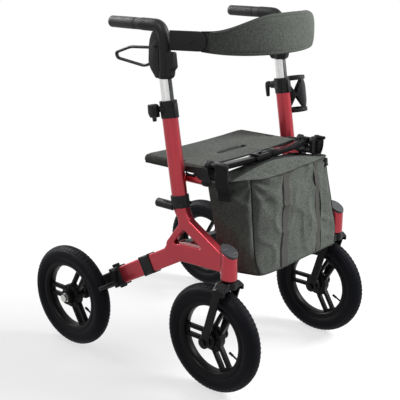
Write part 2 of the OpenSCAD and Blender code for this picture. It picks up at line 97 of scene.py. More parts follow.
class RollatorSizes(bpy.types.PropertyGroup):
    """Sizes that a user may change without touching the frame."""
    tread_pitches: bpy.props.IntProperty(
        name="Tread pitches", description="Rows of tread blocks round a tyre", default=72, min=20, max=110)
    tread_depth: bpy.props.FloatProperty(
        name="Tread depth", description="Height of the tread blocks",
        default=0.0009, min=0.0003, max=0.004, unit="LENGTH")
    seat_sag: bpy.props.FloatProperty(
        name="Seat sag", description="How far the middle of the seat hangs",
        default=0.004, min=0.0, max=0.02, unit="LENGTH")
    piping: bpy.props.FloatProperty(
        name="Piping", description="Radius of the sewn piping",
        default=0.0022, min=0.001, max=0.004, unit="LENGTH")
    bag_slack: bpy.props.FloatProperty(
        name="Bag slack", description="Depth of the soft folds in the bag",
        default=0.0058, min=0.0, max=0.01, unit="LENGTH")


class RollatorColours(bpy.types.PropertyGroup):
    """Main colours of the finishes."""
    paint: bpy.props.FloatVectorProperty(
        name="Frame paint", description="Red of the frame tubes and castings",
        subtype="COLOR", size=3, default=(0.4, 0.036, 0.05), min=0, max=1)
    cloth_light: bpy.props.FloatVectorProperty(
        name="Light yarn", description="Lighter yarn of the cloth",
        subtype="COLOR", size=3, default=(0.2, 0.216, 0.192), min=0, max=1)
    cloth_dark: bpy.props.FloatVectorProperty(
        name="Dark yarn", description="Darker yarn of the cloth",
        subtype="COLOR", size=3, default=(0.052, 0.058, 0.053), min=0, max=1)
    plastic: bpy.props.FloatVectorProperty(
        name="Plastic", description="Black of the moulded fittings",
        subtype="COLOR", size=3, default=(0.0115, 0.0118, 0.0135), min=0, max=1)
    rubber: bpy.props.FloatVectorProperty(
        name="Tyre rubber", description="Blue black of the tyres",
        subtype="COLOR", size=3, default=(0.0055, 0.0058, 0.0085), min=0, max=1)


class RollatorStage(bpy.types.PropertyGroup):
    """Light and camera round the object."""
    key_power: bpy.props.FloatProperty(
        name="Key light", description="Power of the large soft light", default=195, min=0, unit="POWER")
    fill_power: bpy.props.FloatProperty(
        name="Fill light", description="Power of the weaker light from the front", default=5, min=0, unit="POWER")
    sky: bpy.props.FloatProperty(
        name="Sky", description="Strength of the even light from all round", default=0.12, min=0, max=2)
    lens: bpy.props.FloatProperty(
        name="Lens", description="Focal length of the camera", default=76.27, min=20, max=200, unit="CAMERA")


def sizes():
    return bpy.context.scene.rollator_sizes


def colours():
    return bpy.context.scene.rollator_colours


# Helpers that work as by hand

def leave():
    """Goes back from edit mode to object mode."""
    bpy.ops.object.mode_set(mode="OBJECT")


def free():
    """Leaves edit mode with nothing selected."""
    if bpy.context.object and bpy.context.object.mode != "OBJECT":
        leave()
    bpy.ops.object.select_all(action="DESELECT")


def take(*objs):
    """Selects these objects only, the first one active."""
    free()
    for o in objs:
        o.select_set(True)
    bpy.context.view_layer.objects.active = objs[0]


def edit(o, select=True):
    """Opens a piece in edit mode with all of it selected, or none."""
    take(o)
    bpy.ops.object.mode_set(mode="EDIT")
    bpy.ops.mesh.select_all(action="SELECT" if select else "DESELECT")


def named(name):
    """Names the active object and its data."""
    o = bpy.context.object
    o.name = name
    o.data.name = name
    return o


def settled(name):
    """Names the active object and applies its place, turn and scale to its mesh."""
    o = named(name)
    bpy.ops.object.transform_apply(location=True, rotation=True, scale=True)
    return o


def object_of(name, mesh):
    """Puts a mesh into the scene as a new object."""
    o = bpy.data.objects.new(name, mesh)
    bpy.context.scene.collection.objects.link(o)
    return o


def mm(*v):
    """A vector given in millimetres."""
    return Vector(v) * MM


def outward(o, merge=2e-6):
    """Merges doubles and turns every face outwards."""
    edit(o)
    bpy.ops.mesh.remove_doubles(threshold=merge)
    bpy.ops.mesh.normals_make_consistent(inside=False)
    leave()
    return o


def resized(o, scale, centre):
    """Scales a piece about a centre in millimetres."""
    edit(o)
    bpy.ops.transform.resize(value=scale, center_override=mm(*centre))
    leave()
    return o


def modify(o, kind, **values):
    """Adds a modifier, sets its values and applies it."""
    take(o)
    m = o.modifiers.new(kind.title(), kind)
    for k, v in values.items():
        setattr(m, k, v)
    bpy.ops.object.modifier_apply(modifier=m.name)
    return o


def soften(o, width, segments=3, angle=35):
    """Rounds the sharp edges of a piece."""
    return modify(o, "BEVEL", width=width * MM, segments=segments, limit_method="ANGLE",
                  angle_limit=math.radians(angle), use_clamp_overlap=True)


def remeshed(o, voxel, passes):
    """Rounds a piece over with an even voxel mesh and smoothing passes."""
    take(o)
    o.data.remesh_voxel_size = voxel * MM
    bpy.ops.object.voxel_remesh()
    return modify(o, "SMOOTH", factor=0.5, iterations=passes)


def carve(o, *tools):
    """Cuts the tools out of a piece and removes them."""
    for tool in tools:
        modify(o, "BOOLEAN", object=tool, operation="DIFFERENCE", solver="EXACT")
        mesh = tool.data
        bpy.data.objects.remove(tool)
        bpy.data.meshes.remove(mesh)
    return o


def draw(name, points, fill=True):
    """Draws a line from point to point in millimetres, closes it and fills it."""
    pts = [Vector(p) * MM for p in points]
    free()
    bpy.ops.mesh.primitive_plane_add(size=1)
    o = named(name)
    bpy.ops.object.mode_set(mode="EDIT")
    bpy.ops.mesh.select_all(action="SELECT")
    bpy.ops.mesh.merge(type="CENTER")
    bpy.ops.transform.translate(value=pts[0])
    for a, b in zip(pts, pts[1:]):
        bpy.ops.mesh.extrude_vertices_move(TRANSFORM_OT_translate={"value": b - a})
    bm = bmesh.from_edit_mesh(o.data)
    bm.verts.ensure_lookup_table()
    for v in bm.verts:
        v.select = v.index in (0, len(bm.verts) - 1)
    bm.select_flush(True)
    bmesh.update_edit_mesh(o.data)
    bpy.ops.mesh.edge_face_add()
    bpy.ops.mesh.select_all(action="SELECT")
    if fill:
        bpy.ops.mesh.edge_face_add()
    return o


def pulled(o, *way):
    """Extrudes a face that was just drawn into a solid."""
    bpy.ops.mesh.extrude_region_move(TRANSFORM_OT_translate={"value": mm(*way)})
    leave()
    return outward(o)


def slab(name, outline, cut, x0, x1, width, closed=False):
    """A plate on the right side: an outline in y and z with rounded corners, from x0 to x1 beside its middle."""
    points = rounded(outline, cut, closed)
    o = pulled(draw(name, [(-SIDE_X + x0, y, z) for y, z in points]), x1 - x0, 0, 0)
    return soften(o, width)


def turned(name, profile, centre, axis="X", steps=96):
    """A turned piece: a closed profile of (along, radius) spun round an axis through centre."""
    cx, cy, cz = centre
    if axis == "X":
        pts, line = [(cx + a, cy, cz + r) for a, r in profile], (1, 0, 0)
    elif axis == "Y":
        pts, line = [(cx, cy + a, cz + r) for a, r in profile], (0, 1, 0)
    else:
        pts, line = [(cx + r, cy, cz + a) for a, r in profile], (0, 0, 1)
    o = draw(name, pts, fill=False)
    bpy.ops.mesh.spin(steps=steps, angle=TURN, center=mm(*centre), axis=line)
    leave()
    return outward(o)


def twin(half):
    """A profile made of one half and its mirror image."""
    return half + [(-a, r) for a, r in reversed(half)]


def rounded(points, cut, closed=False, n=5):
    """The path with each corner cut back and rounded."""
    pts = [Vector(p) for p in points]
    out = []
    count = len(pts)
    for i, p in enumerate(pts):
        if not closed and i in (0, count - 1):
            out.append(p)
            continue
        a, b = pts[i - 1], pts[(i + 1) % count]
        d = min(cut, (a - p).length * 0.49, (b - p).length * 0.49)
        s, e = p + (a - p).normalized() * d, p + (b - p).normalized() * d
        for k in range(n + 1):
            t = k / n
            out.append(s * (1 - t) ** 2 + p * 2 * t * (1 - t) + e * t ** 2)
    return [tuple(v) for v in out]


def rod(name, points, r, closed=False, sides=4):
    """A round rod along a path in millimetres."""
    free()
    bpy.ops.curve.primitive_bezier_curve_add()
    o = named(name)
    c = o.data
    c.splines.clear()
    s = c.splines.new("POLY")
    s.points.add(len(points) - 1)
    for p, q in zip(s.points, points):
        p.co = (*(Vector(q) * MM), 1)
    s.use_cyclic_u = closed
    c.dimensions = "3D"
    c.bevel_depth = r * MM
    c.bevel_resolution = sides
    c.use_fill_caps = not closed
    bpy.ops.object.convert(target="MESH")
    return outward(bpy.context.object)


def block(name, centre, size, width=0, segments=2, turn_x=0):
    """A box with rounded edges, turned about X."""
    free()
    bpy.ops.mesh.primitive_cube_add(size=1, location=mm(*centre), rotation=(turn_x, 0, 0), scale=mm(*size))
    o = settled(name)
    return soften(o, width, segments) if width else o


def disc(name, corners, r, depth, place, turn_z=0):
    """A flat cylinder that looks along X, turned about Z."""
    free()
    bpy.ops.mesh.primitive_cylinder_add(vertices=corners, radius=r * MM, depth=depth * MM, location=mm(*place),
                                        rotation=(0, math.pi / 2, turn_z))
    return settled(name)


def joined(name, *objs):
    """Joins pieces into one."""
    take(*objs)
    if len(objs) > 1:
        bpy.ops.object.join()
    return named(name)


def node_copy(node, name, voxel=0, passes=0):
    """A copy of a part's own mesh, merged, and with its edges rounded over where a voxel size is given."""
    o = outward(object_of(name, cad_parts[node].data.copy()))
    o.data.materials.clear()
    return remeshed(o, voxel, passes) if voxel else o


def mirrored(o, name):
    """A copy for the other side of the rollator, with a mesh of its own."""
    take(o)
    bpy.ops.object.duplicate()
    c = named(name)
    edit(c)
    bpy.ops.transform.resize(value=(-1, 1, 1), center_override=(0, 0, 0))
    bpy.ops.mesh.normals_make_consistent(inside=False)
    leave()
    return c


def hand_over(o, body, key, *nodes, angle=38):
    """Gives a finished piece its finish, its body and the parts that it stands for."""
    take(o)
    bpy.ops.object.shade_smooth_by_angle(angle=math.radians(angle))
    o.data.materials.clear()
    o.data.materials.append(FINISH[key])
    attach(o, body)
    if nodes:
        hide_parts(*nodes)
    return o


def both(o, body, key, *nodes, angle=38):
    """Hands over a right piece and its mirrored left one. Names, bodies and nodes take the side's name."""
    name = o.name
    left = mirrored(o, f"{name}_left")
    o.name = f"{name}_right"
    o.data.name = o.name
    for piece, side in zip((o, left), SIDES):
        hand_over(piece, f"{body}_{side}", key, *[f"{n}_{side}" for n in nodes], angle=angle)


# Finishes

FINISH = {}

# Finish of the parts on both sides, and of those that there is one of, where they keep their own shape
PAIRED = {
    "paint": ("upright", "rear_leg", "seat_arm", "y_frame"),
    "plastic": ("leg_collar", "brake_housing", "clamp_collar", "seat_cradle", "handle_body", "back_bracket",
                "brake_lever", "clamp_lever", "brake_shoe"),
    "enamel": ("seat_rail", "fork", "front_axle", "strut_front", "strut_low"),
    "steel": ("rear_axle", "steerer"),
    "silver": ("handle_tube",),
    "slate": ("head_cap",),
    "grip": ("grip",),
    "tyre": ("tyre_front", "tyre_rear"),
    "rim": ("rim_front", "rim_rear"),
}
SINGLE = {"cloth": ("seat", "bag", "backrest"), "plastic": ("cup_holder", "cane_clip")}


def new_group(name, inputs, outputs):
    """A node group with float or vector inputs and float outputs."""
    g = bpy.data.node_groups.new(name, "ShaderNodeTree")
    for label, value in inputs:
        kind = "NodeSocketVector" if isinstance(value, tuple) else "NodeSocketFloat"
        g.interface.new_socket(name=label, in_out="INPUT", socket_type=kind).default_value = value
    for label in outputs:
        g.interface.new_socket(name=label, in_out="OUTPUT", socket_type="NodeSocketFloat")
    return g, g.nodes.new("NodeGroupInput").outputs, g.nodes.new("NodeGroupOutput").inputs


def put(tree, kind, links=None, **values):
    """Adds a node, sets its values and inputs, and wires what is given as a socket."""
    n = tree.nodes.new(kind)
    for k, v in values.items():
        setattr(n, k, v)
    for k, v in (links or {}).items():
        if isinstance(v, bpy.types.NodeSocket):
            tree.links.new(v, n.inputs[k])
        else:
            n.inputs[k].default_value = v
    return n


def deliver(g, ends, *values):
    """Wires values to the outputs of a group, in their order."""
    for socket, value in zip(ends, values):
        g.links.new(value, socket)
    return g


def speckle(g, vector, scale, detail=2.0, rough=0.5):
    links = {"Vector": vector, "Scale": scale, "Detail": detail, "Roughness": rough}
    return put(g, "ShaderNodeTexNoise", links).outputs["Fac"]


def stretched(g, vector, stretch):
    return put(g, "ShaderNodeMapping", {"Vector": vector, "Scale": stretch}).outputs["Vector"]


def bands(g, vector, scale, distortion, direction):
    links = {"Vector": vector, "Scale": scale, "Distortion": distortion, "Detail": 1.0}
    return put(g, "ShaderNodeTexWave", links, wave_type="BANDS", bands_direction=direction).outputs["Fac"]


def sharpen(g, value, low, high):
    return put(g, "ShaderNodeMapRange", {"Value": value, "From Min": low, "From Max": high}).outputs["Result"]


def mix_values(g, kind, a, b):
    return put(g, "ShaderNodeMath", {0: a, 1: b}, operation=kind).outputs[0]


def melange_group():
    """Cloth of light and dark yarns: a yarn mask and the height of the weave."""
    g, i, o = new_group("Melange Weave", [("Vector", (0.0, 0.0, 0.0))], ["Yarn Mask", "Height"])
    v = i["Vector"]
    yarns = [sharpen(g, speckle(g, stretched(g, v, stretch), 1.0, 3.0, 0.55), 0.36, 0.66)
             for stretch in ((880, 880, 105), (140, 140, 940))]
    mask = mix_values(g, "MULTIPLY", mix_values(g, "ADD", *yarns), 0.5)
    broad = sharpen(g, speckle(g, v, 9.0, 2.0, 0.55), 0.3, 0.7)
    fine = speckle(g, v, 900.0)
    for spots, share in ((broad, 0.2), (fine, 0.35)):
        change = mix_values(g, "MULTIPLY", mix_values(g, "SUBTRACT", spots, 0.5), share)
        mask = mix_values(g, "ADD", mask, change)
    threads = [bands(g, v, 190.0, 0.6, direction) for direction in "ZX"]
    weave = mix_values(g, "MULTIPLY", mix_values(g, "ADD", *threads), 0.5)
    height = mix_values(g, "ADD", weave, mask)
    return deliver(g, o, put(g, "ShaderNodeClamp", {"Value": mask}).outputs[0], height)


def grain_group():
    """Moulded or cast surface: slow shade changes and a fine grain."""
    inputs = [("Vector", (0.0, 0.0, 0.0)), ("Grain", 900.0), ("Cloud", 14.0)]
    g, i, o = new_group("Moulded Grain", inputs, ["Cloud Mask", "Height"])
    v = i["Vector"]
    cloud = speckle(g, v, i["Cloud"], 4.0, 0.6)
    cells = put(g, "ShaderNodeTexVoronoi", {"Vector": v, "Scale": i["Grain"]}, feature="SMOOTH_F1")
    height = mix_values(g, "ADD", cells.outputs["Distance"], speckle(g, v, i["Grain"]))
    return deliver(g, o, sharpen(g, cloud, 0.3, 0.7), height)


def brushed_group():
    """Long fine scratches along one direction."""
    inputs = [("Vector", (0.0, 0.0, 0.0)), ("Stretch", (900.0, 900.0, 18.0))]
    g, i, o = new_group("Drawn Metal", inputs, ["Scratch", "Height"])
    n = speckle(g, stretched(g, i["Vector"], i["Stretch"]), 1.0, 3.0)
    return deliver(g, o, sharpen(g, n, 0.3, 0.7), n)


def webbing_group():
    """Woven tape: slanted ribs across the strap."""
    g, i, o = new_group("Woven Tape", [("Vector", (0.0, 0.0, 0.0)), ("Ribs", 130.0)], ["Rib Mask", "Height"])
    ribs = bands(g, i["Vector"], i["Ribs"], 0.8, "DIAGONAL")
    fuzz = speckle(g, i["Vector"], 600.0)
    return deliver(g, o, mix_values(g, "MULTIPLY", ribs, fuzz), mix_values(g, "ADD", ribs, fuzz))


def finish(name, group, low, high, rough, bump, metal=0.0, coat=0.0, coat_rough=0.1, sheen=0.0, spec=0.5,
           values=None):
    """A material whose colour, roughness and bump come from one of the groups, its mask the first output."""
    m = bpy.data.materials.new(name)
    m.use_nodes = True
    t = m.node_tree
    p = t.nodes["Principled BSDF"]
    place = put(t, "ShaderNodeTexCoord").outputs["Object"]
    g = put(t, "ShaderNodeGroup", {"Vector": place, **(values or {})}, node_tree=group)
    mask = g.outputs[0]
    c = put(t, "ShaderNodeMix", {0: mask, 6: (*low, 1), 7: (*high, 1)}, data_type="RGBA")
    r = put(t, "ShaderNodeMapRange", {"Value": mask, "To Min": rough[0], "To Max": rough[1]})
    b = put(t, "ShaderNodeBump", {"Height": g.outputs["Height"], "Strength": bump[0], "Distance": bump[1]})
    t.links.new(c.outputs[2], p.inputs["Base Color"])
    t.links.new(r.outputs["Result"], p.inputs["Roughness"])
    t.links.new(b.outputs["Normal"], p.inputs["Normal"])
    p.inputs["Metallic"].default_value = metal
    p.inputs["Coat Weight"].default_value = coat
    p.inputs["Coat Roughness"].default_value = coat_rough
    p.inputs["Sheen Weight"].default_value = sheen
    p.inputs["Specular IOR Level"].default_value = spec
    m.diffuse_color = (*low, 1)
    return m


def make_finishes():
    """Builds every finish of the rollator once."""
    c = colours()
    weave, grain, drawn, tape = melange_group(), grain_group(), brushed_group(), webbing_group()

    def tone(colour, k):
        return tuple(min(1.0, v * k) for v in colour)

    def moulded(key, name, low, high, rough, bump, grain_scale, cloud_scale, **more):
        values = {"Grain": grain_scale, "Cloud": cloud_scale}
        FINISH[key] = finish(name, grain, low, high, rough, bump, values=values, **more)

    moulded("paint", "Red Satin Paint", tone(c.paint, 0.93), tone(c.paint, 1.06), (0.3, 0.38), (0.02, 0.0002),
            2200.0, 9.0, metal=0.82, coat=0.26, coat_rough=0.08, spec=0.3)
    moulded("plastic", "Black Moulded Plastic", tone(c.plastic, 0.8), tone(c.plastic, 1.25), (0.44, 0.54),
            (0.1, 0.0003), 1100.0, 16.0, spec=0.2)
    moulded("rim", "Black Rim Plastic", tone(c.plastic, 0.45), tone(c.plastic, 0.7), (0.34, 0.44),
            (0.06, 0.0003), 1300.0, 13.0, spec=0.09)
    moulded("enamel", "Black Enamel", (0.0052, 0.0054, 0.0064), (0.0082, 0.0084, 0.0096), (0.26, 0.34),
            (0.03, 0.0002), 1500.0, 12.0, spec=0.11, coat=0.03)
    moulded("slate", "Slate Cap Plastic", (0.022, 0.0245, 0.029), (0.034, 0.037, 0.043), (0.4, 0.48),
            (0.08, 0.0003), 1000.0, 20.0, spec=0.4)
    moulded("grip", "Grip Rubber", (0.011, 0.0112, 0.0128), (0.019, 0.0193, 0.0215), (0.5, 0.6),
            (0.2, 0.0005), 700.0, 18.0, spec=0.34)
    moulded("tyre", "Tyre Rubber", tone(c.rubber, 0.75), tone(c.rubber, 1.4), (0.5, 0.62), (0.12, 0.0004),
            800.0, 11.0, spec=0.08)
    FINISH["silver"] = finish("Drawn Silver Tube", drawn, (0.86, 0.86, 0.85), (0.93, 0.93, 0.92), (0.26, 0.36),
                              (0.03, 0.0002), metal=0.6)
    FINISH["steel"] = finish("Axle Steel", drawn, (0.46, 0.45, 0.43), (0.62, 0.61, 0.59), (0.24, 0.36),
                             (0.04, 0.0002), metal=1.0, values={"Stretch": (60.0, 900.0, 900.0)})
    for key, name, dark, light in (("cloth", "Grey Melange Cloth", 1.0, 1.0),
                                   # The seat's cloth is the same cloth in darker yarns: painted shade for the
                                   # weaker light on the seat's top
                                   ("cloth_seat_painted_shade", "Sling Melange Cloth Painted Shade", 0.86, 0.78),
                                   # Darker piping cloth; its darkness is partly painted shade, standing in for the
                                   # grooves of the bag's seams
                                   ("cloth_shade", "Dark Piping Cloth Partly Painted Shade", 0.6, 0.5)):
        FINISH[key] = finish(name, weave, tone(c.cloth_dark, dark), tone(c.cloth_light, light), (0.88, 0.97),
                             (0.3, 0.0004), sheen=0.03, spec=0.15)
    FINISH["taupe"] = finish("Taupe Seam Tape", tape, (0.072, 0.071, 0.067), (0.15, 0.146, 0.139), (0.8, 0.92),
                             (0.3, 0.0004), spec=0.15, values={"Ribs": 240.0})
    FINISH["tape"] = finish("Black Webbing", tape, (0.006, 0.0062, 0.0068), (0.018, 0.0184, 0.0196),
                            (0.75, 0.88), (0.5, 0.0006), sheen=0.02, spec=0.2)


def coat_part(part, key):
    """Puts a finish on a part's own mesh."""
    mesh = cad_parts[part].data
    mesh.materials.clear()
    mesh.materials.append(FINISH[key])


class ROLLATOR_OT_finishes(bpy.types.Operator):
    """Builds the finishes and puts them on the parts that keep their own shape"""
    bl_idname = "rollator.finishes"
    bl_label = "Finishes"

    def execute(self, context):
        make_finishes()
        for key, parts in PAIRED.items():
            for part in parts:
                for side in SIDES:
                    coat_part(f"{part}_{side}", key)
        for key, parts in SINGLE.items():
            for part in parts:
                coat_part(part, key)
        return {"FINISHED"}


# Stage

CAMERA_PLACE = (-1.8294, -1.5687, 1.1648)
CAMERA_TURN = (math.radians(90 - 17.0041), 0, math.radians(-49.1363))
SENSOR_WIDTH = 36
WHITE = (1, 1, 1, 1)
FLOOR_GREY = (0.42, 0.42, 0.425, 1)
FLOOR_GLOW = 0.68
FLOOR_FADE = (0.8, 1.9)

# Lamps that show in gloss only
GLOSS_ONLY = ("gloss_light", "edge_light")


def seen_rays(t):
    """1 for the camera's own rays and for reflections, 0 for the light that falls on the object."""
    path = put(t, "ShaderNodeLightPath")
    return mix_values(t, "MAXIMUM", path.outputs["Is Camera Ray"], path.outputs["Is Glossy Ray"])


def pale_floor():
    """A floor that takes a soft shadow near the object and fades to white away from it."""
    free()
    bpy.ops.mesh.primitive_plane_add(size=1)
    floor = named("studio_floor")
    bpy.ops.object.mode_set(mode="EDIT")
    bpy.ops.transform.resize(value=(14, 14, 1))
    bpy.ops.mesh.subdivide(number_cuts=3)
    leave()
    m = bpy.data.materials.new("Pale Floor")
    m.use_nodes = True
    t = m.node_tree
    p = t.nodes["Principled BSDF"]
    p.inputs["Base Color"].default_value = FLOOR_GREY
    p.inputs["Roughness"].default_value = 0.8
    p.inputs["Specular IOR Level"].default_value = 0.0
    seen = seen_rays(t)
    glow = put(t, "ShaderNodeEmission", {"Color": WHITE, "Strength": mix_values(t, "MULTIPLY", seen, FLOOR_GLOW)})
    near = put(t, "ShaderNodeAddShader", {0: p.outputs[0], 1: glow.outputs[0]})
    place = put(t, "ShaderNodeTexCoord").outputs["Object"]
    away = put(t, "ShaderNodeVectorMath", {0: place}, operation="LENGTH").outputs["Value"]
    fade = put(t, "ShaderNodeMapRange", {"Value": away, "From Min": FLOOR_FADE[0], "From Max": FLOOR_FADE[1]},
               interpolation_type="SMOOTHSTEP").outputs["Result"]
    white = put(t, "ShaderNodeEmission", {"Color": WHITE, "Strength": 1.0})
    share = mix_values(t, "MULTIPLY", fade, seen)
    ends = put(t, "ShaderNodeMixShader", {0: share, 1: near.outputs[0], 2: white.outputs[0]})
    t.links.new(ends.outputs[0], t.nodes["Material Output"].inputs["Surface"])
    floor.data.materials.append(m)


def studio_sky(scene, strength):
    """A sky that looks white and gives an even, weaker light."""
    w = bpy.data.worlds.new("Studio Sky")
    scene.world = w
    w.use_nodes = True
    t = w.node_tree
    level = put(t, "ShaderNodeMapRange", {"Value": seen_rays(t), "To Min": strength, "To Max": 1.0})
    back = t.nodes["Background"]
    back.inputs["Color"].default_value = WHITE
    t.links.new(level.outputs["Result"], back.inputs["Strength"])


class ROLLATOR_OT_stage(bpy.types.Operator):
    """Sets up the camera, the pale floor and the soft studio light"""
    bl_idname = "rollator.stage"
    bl_label = "Stage"

    def execute(self, context):
        s = context.scene.rollator_stage
        context.scene.view_settings.view_transform = "Standard"
        free()
        bpy.ops.object.camera_add(location=CAMERA_PLACE, rotation=CAMERA_TURN)
        cam = named("view_camera")
        cam.data.lens = s.lens
        cam.data.sensor_width = SENSOR_WIDTH
        cam.data.clip_end = 50
        context.scene.camera = cam
        pale_floor()
        studio_sky(context.scene, s.sky)
        for name, place, aim_z, size, power in (
                ("key_light", (2.4, -2.3, 2.7), 0.5, 2.2, s.key_power),
                ("fill_light", (-3.2, -0.6, 1.5), 0.5, 2.0, s.fill_power),
                ("top_light", (-0.2, 2.0, 2.5), 0.4, 1.4, s.key_power * 0.12),
                ("edge_light", (-2.2, -0.5, 3.2), 0.5, 0.9, s.fill_power * 14.0),
                ("gloss_light", (-0.3, 2.6, 1.9), 0.4, 1.3, s.key_power * 0.5)):
            free()
            look = (Vector((0, 0, aim_z)) - Vector(place)).to_track_quat("-Z", "Y").to_euler()
            bpy.ops.object.light_add(type="AREA", location=place, rotation=look)
            lamp = named(name)
            lamp.data.shape = "DISK"
            lamp.data.size = size
            lamp.data.energy = power
            lamp.visible_diffuse = name not in GLOSS_ONLY
        return {"FINISHED"}


# Wheels

# Tread blocks across a tyre: lean, width, length and yaw
TREAD = ((-32, 6.5, 5.6, 22), (-16, 5.4, 7.2, -22), (0, 4.0, 9.4, 0), (16, 5.4, 7.2, 22), (32, 6.5, 5.6, -22))
VALVE_ANGLE = math.radians(205)


def tyre_profile():
    """Closed section of a tyre: tread base, ringed sidewalls and beads."""
    pts = []
    base = TYRE_SECTION - sizes().tread_depth / MM * 0.75
    for d in range(-132, 133, 4):
        a = math.radians(d)
        r = base if abs(d) < 44 else TYRE_SECTION - 0.45
        if abs(d) in (64, 80, 96):
            r += 0.45
        if abs(d) in (44, 48):
            r -= 0.5
        pts.append((r * math.sin(a), TYRE_RING + r * math.cos(a)))
    return pts + [(14.6, 104.5), (12.5, 103.2), (-12.5, 103.2), (-14.6, 104.5)]


def tread_block(centre, lean, wide, long, yaw):
    """One tread block on top of the tyre, leaned to its place across the tread."""
    cx, cy, cz = centre
    depth = sizes().tread_depth / MM + 0.8
    o = block("tread_block", (cx, cy, cz + TREAD_TOP - depth / 2), (wide, long, depth), 0.35, 1)
    edit(o)
    for angle, axis, height in ((yaw, "Z", 150), (lean, "Y", TYRE_RING)):
        bpy.ops.transform.rotate(value=math.radians(angle), orient_axis=axis,
                                 center_override=mm(cx, cy, cz + height))
    leave()
    return o


def copied_round(o, steps, centre):
    """Copies a piece round an axle. The last copy lies on the first one, so it is merged away."""
    edit(o)
    bpy.ops.mesh.spin(steps=steps, angle=TURN, center=mm(*centre), axis=(1, 0, 0), dupli=True)
    leave()
    return outward(o, merge=1e-6)


def tyre(name, centre):
    """A tyre with its tread."""
    body = turned(name, tyre_profile(), centre, steps=128)
    row = joined("tread", *[tread_block(centre, *values) for values in TREAD])
    return joined(name, body, copied_round(row, sizes().tread_pitches, centre))


def spoke(name, centre, offset, hub_r):
    """One spoke towards the rear of the wheel, with a hollowed outer face."""
    cx, cy, cz = centre
    o = block(name, (cx, cy + (hub_r + 92) / 2, cz + offset), (14, 96 - hub_r, 9.5))
    edit(o, select=False)
    bm = bmesh.from_edit_mesh(o.data)
    for f in bm.faces:
        f.select = abs(f.normal.x) > 0.9
    bmesh.update_edit_mesh(o.data)
    bpy.ops.mesh.inset(thickness=2.1 * MM, use_individual=True)
    bpy.ops.transform.resize(value=(0.55, 1, 1), center_override=mm(cx, cy, cz))
    leave()
    return soften(o, 0.9, 2, 30)


def rim(name, centre, hub_r, half, bore):
    """A rim with three pairs of spokes, a ribbed hub and a valve."""
    cx, cy, cz = centre
    flange = twin([(-17.5, 108.6), (-18.2, 107), (-17.5, 100), (-15.5, 96.5), (-13, 94), (-6, 92)])
    bed = [(14.8, 108.6), (14.4, 103), (-14.4, 103), (-14.8, 108.6)]
    ring = turned(name, flange + bed, centre, steps=128)
    hub = turned("hub", twin([(-half, bore), (-half, hub_r - 9), (-half + 1.5, hub_r - 7), (-13, hub_r - 5),
                              (-11, hub_r + 5.5), (-9.5, hub_r + 7)]), centre, steps=64)
    pair = joined("spokes", spoke("spoke_a", centre, -13, hub_r), spoke("spoke_b", centre, 13, hub_r),
                  block("spoke_foot", (cx, cy + 90, cz), (13, 8, 40), 2.5),
                  block("spoke_root", (cx, cy + hub_r + 7, cz), (11, 12, 30), 2.5))
    copied_round(pair, 3, centre)
    rib = block("hub_rib", (cx - 12.4, cy, cz + hub_r + 0.5), (3, 6, 9), 1)
    copied_round(rib, 9, centre)
    out = Vector((0, math.cos(VALVE_ANGLE), math.sin(VALVE_ANGLE)))
    valve = [rod(part, [tuple(Vector(centre) + out * reach) for reach in reaches], r)
             for part, reaches, r in (("valve", (66, 95), 2.6), ("valve_cap", (61, 62, 73, 74), 3.6))]
    return joined(name, ring, hub, pair, rib, *valve)


class ROLLATOR_OT_wheels(bpy.types.Operator):
    """Models the four tyres with their tread, and the rims with pairs of spokes"""
    bl_idname = "rollator.wheels"
    bl_label = "Wheels"

    def execute(self, context):
        for end, centre, hub in (("front", (-CASTER_X, FRONT_Y, AXLE_Z), (26, 31.5, 11.3)),
                                 ("rear", (-REAR_X, REAR_Y, AXLE_Z), (28, 29.5, 14.3))):
            both(tyre(f"treaded_tyre_{end}", centre), f"wheel_{end}", "tyre", f"tyre_{end}")
            both(rim(f"spoked_rim_{end}", centre, *hub), f"wheel_{end}", "rim", f"rim_{end}")
        return {"FINISHED"}


# Side frames, forks and fittings

def along_leg(s, t):
    """Point of the side view at s along the rear leg and t above its middle line."""
    c, n = math.cos(LEG_A), math.sin(LEG_A)
    return CROWN[0] + s * c - t * n, CROWN[1] + s * n + t * c


def on_upright(z, y=0.0, up=0.0):
    """Point of the side view beside the leaning upright axis at height z."""
    base = UPRIGHT_FOOT[0] + (z - UPRIGHT_FOOT[1]) * math.tan(LEAN)
    return base + y * math.cos(LEAN) + up * math.sin(LEAN), z - y * math.sin(LEAN) + up * math.cos(LEAN)


def leg_block(name, s, t, size, width, segments=3):
    """A rounded block in line with the right rear leg."""
    return block(name, (-SIDE_X, *along_leg(s, t)), size, width, segments, LEG_A)


def screw(name, place, r):
    """A round screw head with a hexagon socket, looking to the right."""
    x, y, z = place
    head = soften(disc(name, 24, r, 3.2, (x - 1.6, y, z)), 0.8, 2)
    return carve(head, disc("hex_key", 6, r * 0.5, 4, (x - 3.6, y, z)))


def clamp_handle():
    """Lever of the height clamp: a hooked finger behind the pin and a thumb pad on its outer side."""
    pin_y, pin_up = 31, 24

    def cut(name, outline, x0, x1, width):
        points = [on_upright(CLAMP_Z, pin_y + y, pin_up + up) for y, up in outline]
        return slab(name, points, 3, x0, x1, width, closed=True)

    hub = turned("lever_hub", twin([(-6.2, 3.3), (-6.2, 6.3), (-5.6, 6.9)]),
                 (-SIDE_X, *on_upright(CLAMP_Z, pin_y, pin_up)), steps=40)
    finger = cut("lever_finger", [(4.5, 6), (12, 12), (22, 14), (29, 9), (30.5, -5), (29.5, -32.5), (22.5, -33.5),
                                  (20, -8), (16, 1), (6.2, -3)], -5.2, 5.2, 1.6)
    web = cut("lever_web", [(8.6, 2), (20, 2), (20, 12), (8.6, 12)], -20, -3, 1.4)
    pad = cut("lever_pad", [(-14, -19), (10, -19), (16, -8), (14, 15.5), (-9, 15.5), (-14.6, 6)], -32.5, -17.4, 3)
    ribs = [cut("lever_rib", [(y, -15), (y + 2.6, -15), (y + 2.6, 11), (y, 11)], -34, -30, 0.7)
            for y in (-10.4, -5)]
    return joined("clamp_handle", hub, finger, web, pad, *ribs)


